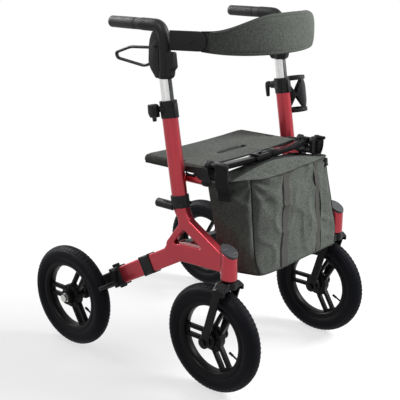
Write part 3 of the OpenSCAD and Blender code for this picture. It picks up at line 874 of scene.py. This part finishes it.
def height_clamp():
    """The clamp collar with its bolt and the lip of its slit."""
    clamp = node_copy("clamp_collar_right", "height_clamp", 1.1, 5)
    bolt = screw("clamp_bolt", (-SIDE_X - 19.5, *on_upright(CLAMP_Z, 2, 22)), 5)
    y, z = on_upright(CLAMP_Z, 0, 22)
    lip = block("clamp_lip", (-SIDE_X, y - 24, z), (16, 5, 38), 2, 2, -LEAN)
    return joined("height_clamp", clamp, bolt, lip)


def drink_cage():
    """Drink holder: the part's own cage with wider windows, two rows of triangles, and a narrower band."""
    cage = node_copy("cup_holder", "drink_cage")
    tools = [block("band_cut", (SIDE_X - 8, *on_upright(700)), (56.4, 90, 190), turn_x=-LEAN)]
    reach = 45
    for turn in (math.pi / 4, math.pi * 3 / 4):
        c, n = math.cos(turn), math.sin(turn)
        for window in (((-22, 11), (22, 11), (0, 52)), ((-22, 97), (22, 97), (0, 56))):
            tool = draw("cage_window", [(HOLDER_X - reach * c - t * n, *on_upright(HOLDER_Z, t * c - reach * n, up))
                                        for t, up in window])
            through = 2 * reach
            tools.append(pulled(tool, through * c, through * n * math.cos(LEAN), -through * n * math.sin(LEAN)))
    return soften(carve(cage, *tools), 0.6, 2, 40)


def leg_sleeve(name, s0, s1, w, h, ribs):
    """A moulded sleeve round the rear leg with raised bands."""
    parts = [leg_block(name, (s0 + s1) / 2, 0, (w, s1 - s0, h), 5)]
    parts += [leg_block("band", s, 0, (w + 2.4, 4.5, h + 2.4), 1.8, 2) for s in ribs]
    return joined(name, *parts)


def brake_sleeve():
    """Brake housing on the rear leg with its stud, cable guide, tab, tail and axle cover."""
    y, z = along_leg(262, 16)
    stud = rod("brake_stud", [(-SIDE_X - 31, y, z), (-SIDE_X - 12, y, z)], 4, sides=5)
    guide = leg_block("cable_guide", 268.5, 33, (14, 22, 9), 3)
    tab = leg_block("brake_tab", 268.5, -30, (16, 18, 8), 2.5)
    tail = leg_block("leg_tail", 360, -1, (26.4, 148, 44), 4)
    boss = turned("axle_cover", twin([(-14.2, 8), (-14.2, 24), (-12.6, 25.6)]), (-SIDE_X, REAR_Y, AXLE_Z), steps=48)
    house = leg_sleeve("brake_sleeve", 247, 290, 31, 56, (250, 287))
    return joined("brake_sleeve", house, stud, guide, tab, tail, boss)


def seat_bracket():
    """The seat cradle with a pierced web on its inner side."""
    cradle = node_copy("seat_cradle_right", "seat_bracket", 1.2, 5)
    web = slab("seat_web", [(-135, 603), (-206, 607), (-221, 570), (-186, 563.5), (-176, 579.5), (-135, 574)],
               4, 19.6, 24, 1.2)
    hole = turned("web_hole", twin([(-20, 0.4), (-20, 6.6)]), (-SIDE_X + 22, -146, 588), steps=32)
    carve(web, resized(hole, (1, 2.2, 1), (-SIDE_X, -143, 588)))
    return joined("seat_bracket", cradle, web)


def front_strut(side, k):
    """Half of the front strut, trimmed along its top."""
    bar = node_copy(f"strut_front_{side}", f"front_strut_{side}")
    trim = draw("trim", [(k * x, -250, z) for x, z in ((192, 611.8), (47, 606.4), (47, 640), (192, 640))])
    return soften(carve(bar, pulled(trim, 0, 60, 0)), 1.2, 2, 50)


class ROLLATOR_OT_frame(bpy.types.Operator):
    """Rounds the side castings and forks, and models the sleeves, caps and screws of the side frames"""
    bl_idname = "rollator.frame"
    bl_label = "Side frames"

    def execute(self, context):
        def rounded_copies(node, name, voxel, passes, body, key):
            both(node_copy(f"{node}_right", name, voxel, passes), body, key, node, angle=60)

        rounded_copies("y_frame", "side_casting", 1.9, 34, "frame", "paint")
        rounded_copies("fork", "swivel_fork", 1.7, 9, "fork", "enamel")
        both(leg_sleeve("leg_sleeve", 110, 151, 29, 54, (112.5, 148.5)), "frame", "plastic", "leg_collar")
        both(brake_sleeve(), "frame", "plastic", "brake_housing")
        rounded_copies("head_cap", "head_cover", 0.9, 6, "frame", "slate")
        rounded_copies("brake_shoe", "brake_pad_arm", 0.9, 4, "brake_shoe", "plastic")
        both(height_clamp(), "frame", "plastic", "clamp_collar", angle=60)
        both(clamp_handle(), "clamp_lever", "plastic", "clamp_lever")
        both(seat_bracket(), "frame", "plastic", "seat_cradle", angle=60)
        for side, k in zip(SIDES, (-1, 1)):
            hand_over(front_strut(side, k), f"strut_front_{side}", "enamel", f"strut_front_{side}", angle=50)
        foot = block("foot_band", (-SIDE_X, *on_upright(503)), (40.5, 47.5, 9), 3, 3, -LEAN)
        both(foot, "frame", "plastic")
        hand_over(node_copy("cane_clip", "stick_clip", 1.1, 4), "frame_right", "plastic", "cane_clip", angle=60)
        hand_over(drink_cage(), "frame_left", "plastic", "cup_holder")
        return {"FINISHED"}


# Handles

def housing():
    """Handle housing: a bent neck, the lever house behind it and the guide block in front."""
    bend = [(-SIDE_X, y, z) for y, z in ((-8, 961), (-74, 960.5), (-84, 915), (-85, 829))]
    neck = rod("handle_housing", rounded(bend, 30, n=9), 16.4, sides=8)
    house = slab("lever_house", [(-62, 828), (-43, 852), (-37, 868), (-39, 905), (-42, 925), (-52, 947), (-72, 947),
                                 (-80, 828)], 6, -14, 14, 3.5)
    carve(house, block("lever_slot", (-SIDE_X, -48, 880.5), (14, 66, 81)))
    front = slab("guide_block", [(-88, 897), (-116, 897), (-121, 858), (-112, 850), (-111, 837), (-103, 828),
                                 (-88, 828)], 4, -11, 11, 3)
    cheek = slab("side_cheek", [(-51, 846), (-46, 866), (-48, 903), (-62, 925), (-76, 925), (-78, 846)],
                 6, -16.2, -13, 1.2)
    pin = screw("lever_screw", (-SIDE_X - 16, -66, 909), 4.2)
    foot = turned("neck_foot", [(-2.5, 15), (-2.5, 18), (2.5, 18.4), (2.5, 15)], (-SIDE_X, -85, 831), "Z", 40)
    return joined("handle_housing", neck, house, front, cheek, pin, foot)


def grip():
    """Grip with a soft palm swell, a seam ring and a rounded end."""
    profile = [(-27.8, 15.0), (-27.4, 15.7), (-21, 15.8), (-19.5, 15.3)]
    for k in range(13):
        y = -18 + k * 9.6
        profile.append((y, 15.15 + 0.45 * math.sin(math.pi * k / 12)))
        if k == 3:
            profile += [(y + 1.0, 14.5), (y + 2.0, 14.5), (y + 3.0, 15.3)]
    profile += [(103.5, 15.3), (106.5, 14.4), (108.4, 12.4), (109, 9), (109, 0.4), (100, 0.4), (-27.8, 10)]
    return turned("soft_grip", profile, (-SIDE_X, 0, GRIP_Z), "Y", 56)


def loop_lever():
    """Brake lever: one closed flat rod loop with its eye on the pin."""
    loop = [(-SIDE_X, y, z) for y, z in ((-58, 905.5), (-33, 903), (39, 899), (93.5, 880.5), (88.5, 866),
                                         (-11, 853.5), (-34, 861.5), (-58, 899))]
    o = rod("loop_lever", rounded(loop, 11, closed=True), 3.9, closed=True, sides=6)
    resized(o, (1.45, 1, 1), (-SIDE_X, 0, 0))
    eye = turned("lever_eye", twin([(-5.6, 4.4), (-5.6, 8.4), (-4.8, 9.2)]), (-SIDE_X, -64, 906), steps=40)
    return joined("loop_lever", o, eye)


def bracket():
    """Plate from the housing to the backrest, with a round front end and a screw."""
    start = Vector((-SIDE_X, -101))
    end, _ = back_place(BACK_FIRST)
    d = (end - start).normalized()
    n = Vector((-d.y, d.x))
    reach = (end - start).length
    high, behind, thick = 25, 3.2, 6.2
    bow = [math.pi * i / 16 for i in range(17)]
    side = [(0.3, -high)] + [(reach - 4 + 22 * math.sin(k), -high * math.cos(k)) for k in bow] + [(0.3, high)]
    o = draw("back_plate", [(*(start + d * s - n * behind), BACK_Z + z) for s, z in side])
    soften(pulled(o, n.x * thick, n.y * thick, 0), 1.8)
    head = disc("plate_screw", 28, 5.2, 9.6, (*(start + d * 58), BACK_Z), math.atan2(n.y, n.x))
    return joined("back_plate", o, soften(head, 1, 2))


class ROLLATOR_OT_handles(bpy.types.Operator):
    """Models the handle housings, grips, brake loops, tube strips and backrest plates"""
    bl_idname = "rollator.handles"
    bl_label = "Handles"

    def execute(self, context):
        both(housing(), "handle", "plastic", "handle_body")
        both(grip(), "handle", "grip", "grip")
        both(loop_lever(), "brake_lever", "plastic", "brake_lever")
        both(bracket(), "handle", "plastic", "back_bracket")
        band = block("tube_strip", (-SIDE_X, *on_upright(752, -15.3)), (13, 2.6, 174), 1, 2, -LEAN)
        both(band, "handle", "slate")
        return {"FINISHED"}


# Soft pieces

def skin(name, verts, faces):
    """A mesh of points and faces, as an object."""
    me = bpy.data.meshes.new(name)
    me.from_pydata(verts, [], faces)
    return outward(object_of(name, me))


def loft(name, rings, first=False, last=False):
    """A skin over rings of points in millimetres, closed round each ring, with its ends filled where asked."""
    n = len(rings[0])
    verts = [Vector(p) * MM for ring in rings for p in ring]
    faces = [(i * n + k, i * n + (k + 1) % n, (i + 1) * n + (k + 1) % n, (i + 1) * n + k)
             for i in range(len(rings) - 1) for k in range(n)]
    if first:
        faces.append(tuple(range(n - 1, -1, -1)))
    if last:
        faces.append(tuple((len(rings) - 1) * n + k for k in range(n)))
    return skin(name, verts, faces)


def swell(o, pressure, cap, steps):
    """Lets a closed piece swell as filled cloth, with no point moved further than cap in millimetres."""
    scene = bpy.context.scene
    start = [v.co.copy() for v in o.data.vertices]
    take(o)
    m = o.modifiers.new("Cloth", "CLOTH")
    m.settings.use_pressure = True
    m.settings.uniform_pressure_force = pressure
    m.settings.effector_weights.gravity = 0
    m.settings.quality = 6
    m.collision_settings.use_collision = False
    for f in range(1, steps + 1):
        scene.frame_set(f)
    bpy.ops.object.modifier_apply(modifier=m.name)
    scene.frame_set(1)
    for v, p in zip(o.data.vertices, start):
        move = v.co - p
        if move.length > cap * MM:
            v.co = p + move * (cap * MM / move.length)
    return o


def ease(t):
    """A soft step from 0 to 1."""
    t = min(1.0, max(0.0, t))
    return t * t * (3 - 2 * t)


def strip(name, points, normals, across, width, thick):
    """A flat band along points, lying on a surface whose normals are given."""
    side = Vector(across).normalized() * (width / 2)
    rings = []
    for p, n in zip(points, normals):
        up = Vector(n).normalized() * (thick / 2)
        rings.append([tuple(Vector(p) + side * a + up * b) for a, b in (
            (-1, -0.4), (-0.96, 1), (0.96, 1), (1, -0.4), (0.96, -1), (-0.96, -1))])
    return loft(name, rings, True, True)


# Seat

def arc(cx, cy, r, a0, a1, n=8):
    """Points of an arc in plan, its angles in degrees."""
    angles = [math.radians(a0 + (a1 - a0) * i / n) for i in range(n + 1)]
    return [(cx + r * math.cos(a), cy + r * math.sin(a)) for a in angles]


def seat_outline(grow=0.0):
    """Plan of the seat cloth: rounded rear corners and a cut-out at each rear clamp."""
    x, f, r = RAIL_X + grow, SEAT_FRONT - grow, SEAT_REAR + grow
    half = arc(x - 6, f + 6, 6, -90, 0, 4)
    half += arc(x - 3, NOTCH_FRONT - 3, 3, 0, 90, 3) + [(192, NOTCH_FRONT), (192, NOTCH_REAR)]
    half += arc(x - 3, NOTCH_REAR + 3, 3, -90, 0, 3) + arc(x - 13, r - 13, 13, 0, 90, 8)
    return twin(half)


def seat_drop(x, y):
    """How far the cloth hangs at a point of the plan."""
    free_span = max(0.0, 1 - (x / 196) ** 2)
    edge = 0.7 + 0.3 * abs(2 * (y - SEAT_FRONT) / (SEAT_REAR - SEAT_FRONT) - 1)
    ripple = 0.35 * noise.noise(Vector((x * 0.012, y * 0.05, 3.1)))
    return sizes().seat_sag / MM * free_span * edge + ripple * free_span


def seat_cloth():
    """The sling: a slotted cloth that swells, hangs and is pressed in along two sewn lines."""
    o = pulled(draw("seat_cloth", [(x, y, SEAT_TOP - 5.4) for x, y in seat_outline()]), 0, 0, 4.6)
    slot = arc(52, 0, 10, -90, 90) + [(0, 13)] + arc(-52, 0, 10, 90, 270) + [(0, -9)]
    carve(o, pulled(draw("slot", [(x, y + SLOT_Y, SEAT_TOP - 20) for x, y in slot]), 0, 0, 40))
    swell(remeshed(o, 2.1, 5), 1.5, 0.7, 8)
    for v in o.data.vertices:
        x, y = v.co.x / MM, v.co.y / MM
        v.co.z -= seat_drop(x, y) * MM
        seam = min(abs(abs(y - end) - 9) for end in (SEAT_FRONT, SEAT_REAR))
        if seam < 1.6 and v.co.z / MM > SEAT_TOP - 8:
            v.co.z -= 0.35 * MM
    return o


def seat_sleeve(x):
    """Cloth tunnel round one rail, parted at the rear clamp and closed behind the rail's end."""
    front = [(NOTCH_FRONT - 1.2, 12.3), (NOTCH_FRONT, 11.6), (NOTCH_FRONT, 10.3), (SEAT_FRONT, 10.3),
             (SEAT_FRONT, 11.6), (SEAT_FRONT + 1.2, 12.3)]
    rear = [(22, 12.3), (25.6, 11.8), (27.6, 10.6), (28.6, 8.6), (28.9, 0.4), (26.5, 0.4), (26.3, 10.3),
            (NOTCH_REAR, 10.3), (NOTCH_REAR, 11.6), (NOTCH_REAR + 1.2, 12.3)]
    return joined("seat_sleeve", *[turned("sleeve", ends, (x, 0, RAIL_Z), "Y", 40) for ends in (front, rear)])


def seat_binding():
    """Cord along the rear edge and its corners, and along the front edge."""
    def cord_point(x, y):
        return x, y, SEAT_TOP - 3.1 - seat_drop(x, y)

    plan = seat_outline(-0.6)
    rear = [cord_point(x, y) for x, y in plan if y > -6]
    front = sorted(cord_point(x, y) for x, y in plan if y < -170)
    parts = []
    for line in (rear, front):
        fine = []
        for p, q in zip(line, line[1:]):
            steps = max(1, int((Vector(q) - Vector(p)).length // 12))
            fine += [cord_point(p[0] + (q[0] - p[0]) * k / steps, p[1] + (q[1] - p[1]) * k / steps)
                     for k in range(steps)]
        parts.append(rod("seat_cord", fine + [line[-1]], sizes().piping / MM * 1.15))
    return joined("seat_binding", *parts)


def edge_binding(x):
    """Dark cord below the outer side of one sleeve."""
    x += math.copysign(8.6, x)
    z = RAIL_Z - 8.4
    spans = ((SEAT_FRONT + 1, NOTCH_FRONT - 1), (NOTCH_REAR + 1, SEAT_REAR - 3))
    return joined("edge_binding", *[rod("edge_cord", [(x, y0, z), (x, y1, z)], 2.6) for y0, y1 in spans])


def seat_strap():
    """Pull strap below the slot, bowed up a little in its middle."""
    half = 75
    pts = [(x, SLOT_Y, SEAT_TOP - 8.6 - seat_drop(x, SLOT_Y) + 4.2 * math.cos(x / half * math.pi / 2))
           for x in range(-half, half + 1, 5)]
    return soften(strip("seat_strap", pts, [(0, 0, 1)] * len(pts), (0, 1, 0), 26, 2.2), 0.5, 2, 30)


class ROLLATOR_OT_seat(bpy.types.Operator):
    """Models the sling seat: cloth, rail sleeves, binding and pull strap"""
    bl_idname = "rollator.seat"
    bl_label = "Seat"

    def execute(self, context):
        # The sling and its sleeves take the darker copy of the cloth, which is painted shade
        cloth = hand_over(seat_cloth(), "frame_right", "cloth_seat_painted_shade", "seat", angle=60)
        both(seat_sleeve(-RAIL_X), "frame", "cloth_seat_painted_shade")
        both(edge_binding(-RAIL_X), "frame", "tape")
        pieces = [cloth, hand_over(seat_binding(), "frame_right", "tape"),
                  hand_over(seat_strap(), "frame_right", "tape")]
        for o in pieces:
            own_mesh(o)
        return {"FINISHED"}


# Bag: walls 0 to 3 are the right side, the front, the left side and the rear

WALL_LENGTHS = (114, 352, 114, 352)
WALL_FULLNESS = (11.0, 5.0, 8.0, -3.0)
WALL_STEPS = (30, 88, 30, 60)
BAG_LOW = 324
BAG_MIDDLE = Vector((0, -293, 450))

# Front seams, as shares along the front wall at its foot and at its hem
SEAMS = ((0.22, 0.325), (0.76, 0.845))


def tuck(t):
    """Share by which the near front corner hangs back at height share t."""
    return 0.4 + 0.6 * ease(t / 0.5)


def bag_corner(i, t):
    """Corners of the bag at height share t: rear right, front right, front left, rear left."""
    front = 179.5 + 11 * ease(t / 0.2) - 17.5 * ease((t - 0.15) / 0.95)
    rear = 199 + 10 * t
    y = -239 + 41 * t
    k = tuck(t)
    return ((-rear, y + 8), (-front + 33 * k, y - 110 - t + 26 * k), (front, y - 110 - t), (rear, y + 8))[i]


def bag_wall(e, t):
    """Ends of wall e at height share t, and a level normal to the line between them."""
    a, b = Vector(bag_corner(e, t)), Vector(bag_corner((e + 1) % 4, t))
    return a, b, Vector(((b - a).y, -(b - a).x)).normalized()


def bag_height(e, u, t):
    """Height of the wall: the hem of the front stands higher than the rear."""
    top = (564 + 6 * ease(u), 570 + 9 * u, 579 - 15 * ease(u),
           564 + 14 * max(0.0, math.sin(math.pi * u)) ** 0.5)[e]
    low = BAG_LOW + 2.5 * math.sin(math.pi * u)
    return low + (top - low) * t


def bag_folds(p, z):
    """Soft hollows and ridges of the cloth at a point of the wall."""
    slack = sizes().bag_slack / MM
    soft = noise.noise(Vector((p.x * 0.011, p.y * 0.015, z * 0.013))) * slack * 0.9
    soft += noise.noise(Vector((p.x * 0.028, p.y * 0.03 + 7, z * 0.03 + 4))) * slack * 0.45
    ridge = noise.noise(Vector((p.x * 0.012 + z * 0.006, p.y * 0.012, z * 0.012 - p.x * 0.006 + 2.7)))
    return soft + (max(0.0, 1 - abs(ridge) * 3.2) ** 2 - 0.25) * slack * 0.75


def bag_hang(e, u, t):
    """Folds that fan out from the two upper corners of a wall, none on the rear one."""
    hang = 0.0
    for corner in (0, 1):
        d = abs(u - corner) * WALL_LENGTHS[e]
        rise = (1 - t) * 250
        ray = math.atan2(rise, d + 8)
        hang += math.exp(-((d * d + rise * rise) ** 0.5) / 75) * math.sin(ray * 11 + e) * 4.6 * (e != 3)
    return hang


def bag_point(e, u, t, out=0.0):
    """Point of the bag's skin on wall e, at share u along it and t up it."""
    a, b, n = bag_wall(e, t)
    p = a.lerp(b, u)
    if n.dot(Vector((0, -1) if e == 1 else (p.x, p.y + 290))) < 0:
        n = -n
    z = bag_height(e, u, t)
    body = math.sin(math.pi * u) ** 0.7 * math.sin(math.pi * min(1, 0.12 + t * 0.9)) ** 0.8
    folds = bag_folds(p, z) + bag_hang(e, u, t)
    edge = min(1.0, u * 16, (1 - u) * 16, t * 10)
    if e == 1:
        p.y -= 26 * tuck(t) * (1 - u - max(0.0, 1 - u / 0.26) ** 2)
    near_edge = min(u, 1 - u) * WALL_LENGTHS[e]
    p = p + n * (WALL_FULLNESS[e] * body + folds * edge + out - 4.0 * max(0.0, 1 - near_edge / 14) ** 2)
    return p.x, p.y, z


def bag_shell():
    """The bag's walls and base as one thick skin."""
    levels = 62
    rings = [[bag_point(e, k / WALL_STEPS[e], i / levels) for e in range(4) for k in range(WALL_STEPS[e])]
             for i in range(levels + 1)]
    cx, cy, _ = BAG_MIDDLE
    under = [[(cx + (x - cx) * s, cy + (y - cy) * s, z - 1.0 - 1.5 * (1 - s)) for x, y, z in rings[0]]
             for s in (0.03, 0.25, 0.5, 0.75, 0.93)]
    o = loft("bag_shell", under + rings, first=True)
    if sum(f.normal.dot(f.center - BAG_MIDDLE * MM) for f in o.data.polygons) < 0:
        edit(o)
        bpy.ops.mesh.flip_normals()
        leave()
    modify(o, "SMOOTH", factor=0.5, iterations=2)
    return modify(o, "SOLIDIFY", thickness=2.6 * MM, offset=-1)


def front_line(u0, u1, out, low=0.01, rise=0.99, n=40):
    """Line up the front wall, from share u0 at its foot to u1 at its hem."""
    return [bag_point(1, u0 + (u1 - u0) * k / n, low + rise * k / n, out) for k in range(n + 1)]


def bag_rods():
    """Piping: dark along the front corners, pale along the seams, the hem, a rolled corner and the foot."""
    r = sizes().piping / MM
    dark = [rod("corner_cord", front_line(u, u, 0.2), r * 0.75) for u in (0.004, 0.996)]
    # The pale cords take the darker piping cloth; along the seams its darkness is partly painted shade of the
    # grooves
    pale = [rod("seam_cord", front_line(u0, u1, 0.1), r * 0.62) for u0, u1 in SEAMS]
    hem = [bag_point(0, 0.55 + 0.45 * k / 12, 1.0) for k in range(12)]
    hem += [bag_point(1, k / 50, 1.0) for k in range(51)]
    hem += [bag_point(2, 0.45 * k / 12, 1.0) for k in range(1, 13)]
    pale.append(rod("hem_cord", hem, r * 0.9))
    corner = [bag_point(1, 0.985, t, 1.5) for t in (0.9, 0.935, 0.965, 0.985)]
    pale.append(rod("rolled_corner", corner, 6.5, sides=5))
    foot = [bag_point(e, k / m, 0.012, 0.6) for e, m in enumerate((12, 40, 12, 30)) for k in range(m)]
    pale.append(rod("foot_cord", foot, r * 0.8, closed=True))
    return joined("bag_corner_cords", *dark), joined("bag_seam_cords", *pale)


def bag_tapes():
    """Flat tapes sewn beside the front seams."""
    parts = []
    n = 44
    normals = [(*bag_wall(1, k / n)[2], 0) for k in range(n + 1)]
    for (u0, u1), shift, wide in zip(SEAMS, (0.05, -0.036), (29, 20)):
        pts = front_line(u0 + shift, u1 + shift, 0.5, 0.015, 0.975, n)
        parts.append(strip("seam_tape", pts, normals, (1, 0, 0), wide, 1.1))
    return joined("bag_tapes", *parts)


def bag_webbing():
    """Strap from the right cradle down to the side of the bag."""
    pts = [(-226.5, -253, 622), (-226.5, -253, 600), (-225, -252, 586), (-219, -248, 566)]
    pts += [bag_point(0, 0.36, t, 4.0) for t in (0.87, 0.83, 0.79)]
    pts = rounded(pts, 7, n=4)
    strap = strip("webbing", pts, [(-1, -0.35, 0.2)] * len(pts), (-0.33, 0.94, 0), 34, 2.2)
    return joined("bag_webbing", strap, block("strap_bar", (-224.5, -253, 618), (8, 37, 9), 2.5))


def lid_point(u, v, lift=0.0):
    """Point of the lid between the front hem, v 0, and the bound rear edge, v 1."""
    a = Vector(bag_point(1, u, 1.0))
    s = 2 * u - 1
    b = Vector((s * 184, -246, 592 - 25 * abs(s) ** 1.6))
    p = a.lerp(b, v)
    p.z += -4.5 * math.sin(math.pi * v) * (1 - s * s) + lift
    crease = noise.noise(Vector((p.x * 0.016, v * 0.9, 9.4))) * 3.2
    crease += noise.noise(Vector((p.x * 0.05, v * 2.2, 2.0))) * 1.3
    p.z += crease * math.sin(math.pi * v)
    return tuple(p)


def bag_lid():
    """The lid as a thin creased sheet."""
    nu, nv = 90, 22
    row = nu + 1
    verts = [Vector(lid_point(i / nu, j / nv)) * MM for j in range(nv + 1) for i in range(row)]
    faces = [(j * row + i, j * row + i + 1, (j + 1) * row + i + 1, (j + 1) * row + i)
             for j in range(nv) for i in range(nu)]
    return modify(skin("bag_lid", verts, faces), "SOLIDIFY", thickness=2.0 * MM, offset=0)


class ROLLATOR_OT_bag(bpy.types.Operator):
    """Models the carry bag: sagging shell, lid, piping, seam tapes and webbing"""
    bl_idname = "rollator.bag"
    bl_label = "Bag"

    def execute(self, context):
        shell = hand_over(bag_shell(), "frame_right", "cloth", "bag", angle=50)
        dark, pale = bag_rods()
        lid = hand_over(bag_lid(), "frame_right", "cloth", angle=60)
        edge = rod("lid_binding", [lid_point(k / 60, 1.0, 0.4) for k in range(61)], 3.0)
        pieces = [shell, lid]
        for o, key in ((dark, "tape"), (pale, "cloth_shade"), (edge, "tape"), (bag_tapes(), "taupe")):
            pieces.append(hand_over(o, "frame_right", key))
        both(bag_webbing(), "frame", "tape")
        for o in pieces:
            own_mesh(o)
        return {"FINISHED"}


# Backrest

def back_edges(a):
    """Lower and upper edge of the backrest at angle a."""
    near = min(a, 180 - a)
    share = (near - BACK_FIRST) / (90 - BACK_FIRST)
    rise = 0.12 * share + 0.88 * ease((near - 30) / 44)
    drop = 1 - max(0.0, 1 - share) ** 3.2
    return BACK_Z - 25 - 13 * drop, BACK_Z + 25 + 41 * rise


def back_place(a):
    """Point of the backrest's middle line in plan at angle a, and its outward normal."""
    a = math.radians(a)
    n = Vector((-math.cos(a) / BACK_W, -math.sin(a) / BACK_D)).normalized()
    return Vector((-BACK_W * math.cos(a), BACK_Y - BACK_D * math.sin(a))), n


def back_angles(inset, count):
    """Angles from one end of the backrest to the other, in even steps."""
    return [BACK_FIRST + inset + (180 - 2 * BACK_FIRST - 2 * inset) * i / count for i in range(count + 1)]


def back_section(a):
    """Section of the pad: flat soft faces, round edges and a sewn line near each edge of both faces."""
    place, n = back_place(a)
    low, high = back_edges(a)
    mid, half = (low + high) / 2, (high - low) / 2 - 0.8
    near = min(a, 180 - a)
    thick = 6.6 + 1.0 * ease((near - BACK_FIRST) / 25)
    thick *= ease((near - BACK_FIRST) / 3.0) * 0.45 + 0.55
    plated = 1 - ease((near - BACK_FIRST - 5.6) / 2.4)
    pts = []
    steps = 72
    for k in range(steps):
        b = TURN * k / steps
        c, s = math.cos(b), math.sin(b)
        out = math.copysign(abs(c) ** 0.42, c) * thick
        up = math.copysign(abs(s) ** 0.62, s) * half
        gap = min(abs(half - abs(up) - 7.5), 6)
        if abs(out) > thick * 0.55:
            out -= math.copysign(1.5 * math.exp(-(gap / 1.5) ** 2), out)
            out += math.copysign(1.2 * math.cos(up / half * math.pi / 2), out)
        out += plated * (min(out, -4.4) - out)
        p = place + n * out
        pts.append((p.x, p.y, mid + up))
    return pts


def back_pad():
    """The padded band."""
    o = loft("back_pad", [back_section(a) for a in back_angles(0.2, 150)], True, True)
    return swell(o, 2.0, 1.2, 10)


def back_binding():
    """Cord along the upper and lower edge of the pad."""
    parts = []
    for which, inset in enumerate((1.6, -1.6)):
        path = [(*back_place(a)[0], back_edges(a)[which] + inset) for a in back_angles(0.6, 120)]
        parts.append(rod("back_cord", path, 1.9))
    return joined("back_binding", *parts)


class ROLLATOR_OT_backrest(bpy.types.Operator):
    """Models the padded backrest band with its sewn edges"""
    bl_idname = "rollator.backrest"
    bl_label = "Backrest"

    def execute(self, context):
        pad = hand_over(back_pad(), "handle_right", "cloth", "backrest", angle=60)
        cord = hand_over(back_binding(), "handle_right", "cloth_shade")
        for o in (pad, cord):
            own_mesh(o)
        return {"FINISHED"}


# Panel and registration

STEPS = (ROLLATOR_OT_stage, ROLLATOR_OT_finishes, ROLLATOR_OT_wheels, ROLLATOR_OT_frame, ROLLATOR_OT_handles,
         ROLLATOR_OT_seat, ROLLATOR_OT_bag, ROLLATOR_OT_backrest)
GROUPS = {"rollator_sizes": RollatorSizes, "rollator_colours": RollatorColours, "rollator_stage": RollatorStage}


class ROLLATOR_PT_panel(bpy.types.Panel):
    """Lists the sizes, the colours and the steps of the rollator"""
    bl_label = "Rollator"
    bl_idname = "ROLLATOR_PT_panel"
    bl_space_type = "VIEW_3D"
    bl_region_type = "UI"
    bl_category = "Rollator"

    def draw(self, context):
        for key, group in GROUPS.items():
            box = self.layout.box()
            for value in group.__annotations__:
                box.prop(getattr(context.scene, key), value)
        for step in STEPS:
            self.layout.operator(step.bl_idname)


def register():
    for c in (*GROUPS.values(), *STEPS, ROLLATOR_PT_panel):
        bpy.utils.register_class(c)
    for key, group in GROUPS.items():
        setattr(bpy.types.Scene, key, bpy.props.PointerProperty(type=group))


def unregister():
    for key in GROUPS:
        delattr(bpy.types.Scene, key)
    for c in (ROLLATOR_PT_panel, *reversed(STEPS), *reversed(GROUPS.values())):
        bpy.utils.unregister_class(c)


def main():
    register()
    for step in STEPS:
        area, call = step.bl_idname.split(".")
        getattr(getattr(bpy.ops, area), call)()
    free()


if __name__ == "__main__":
    main()
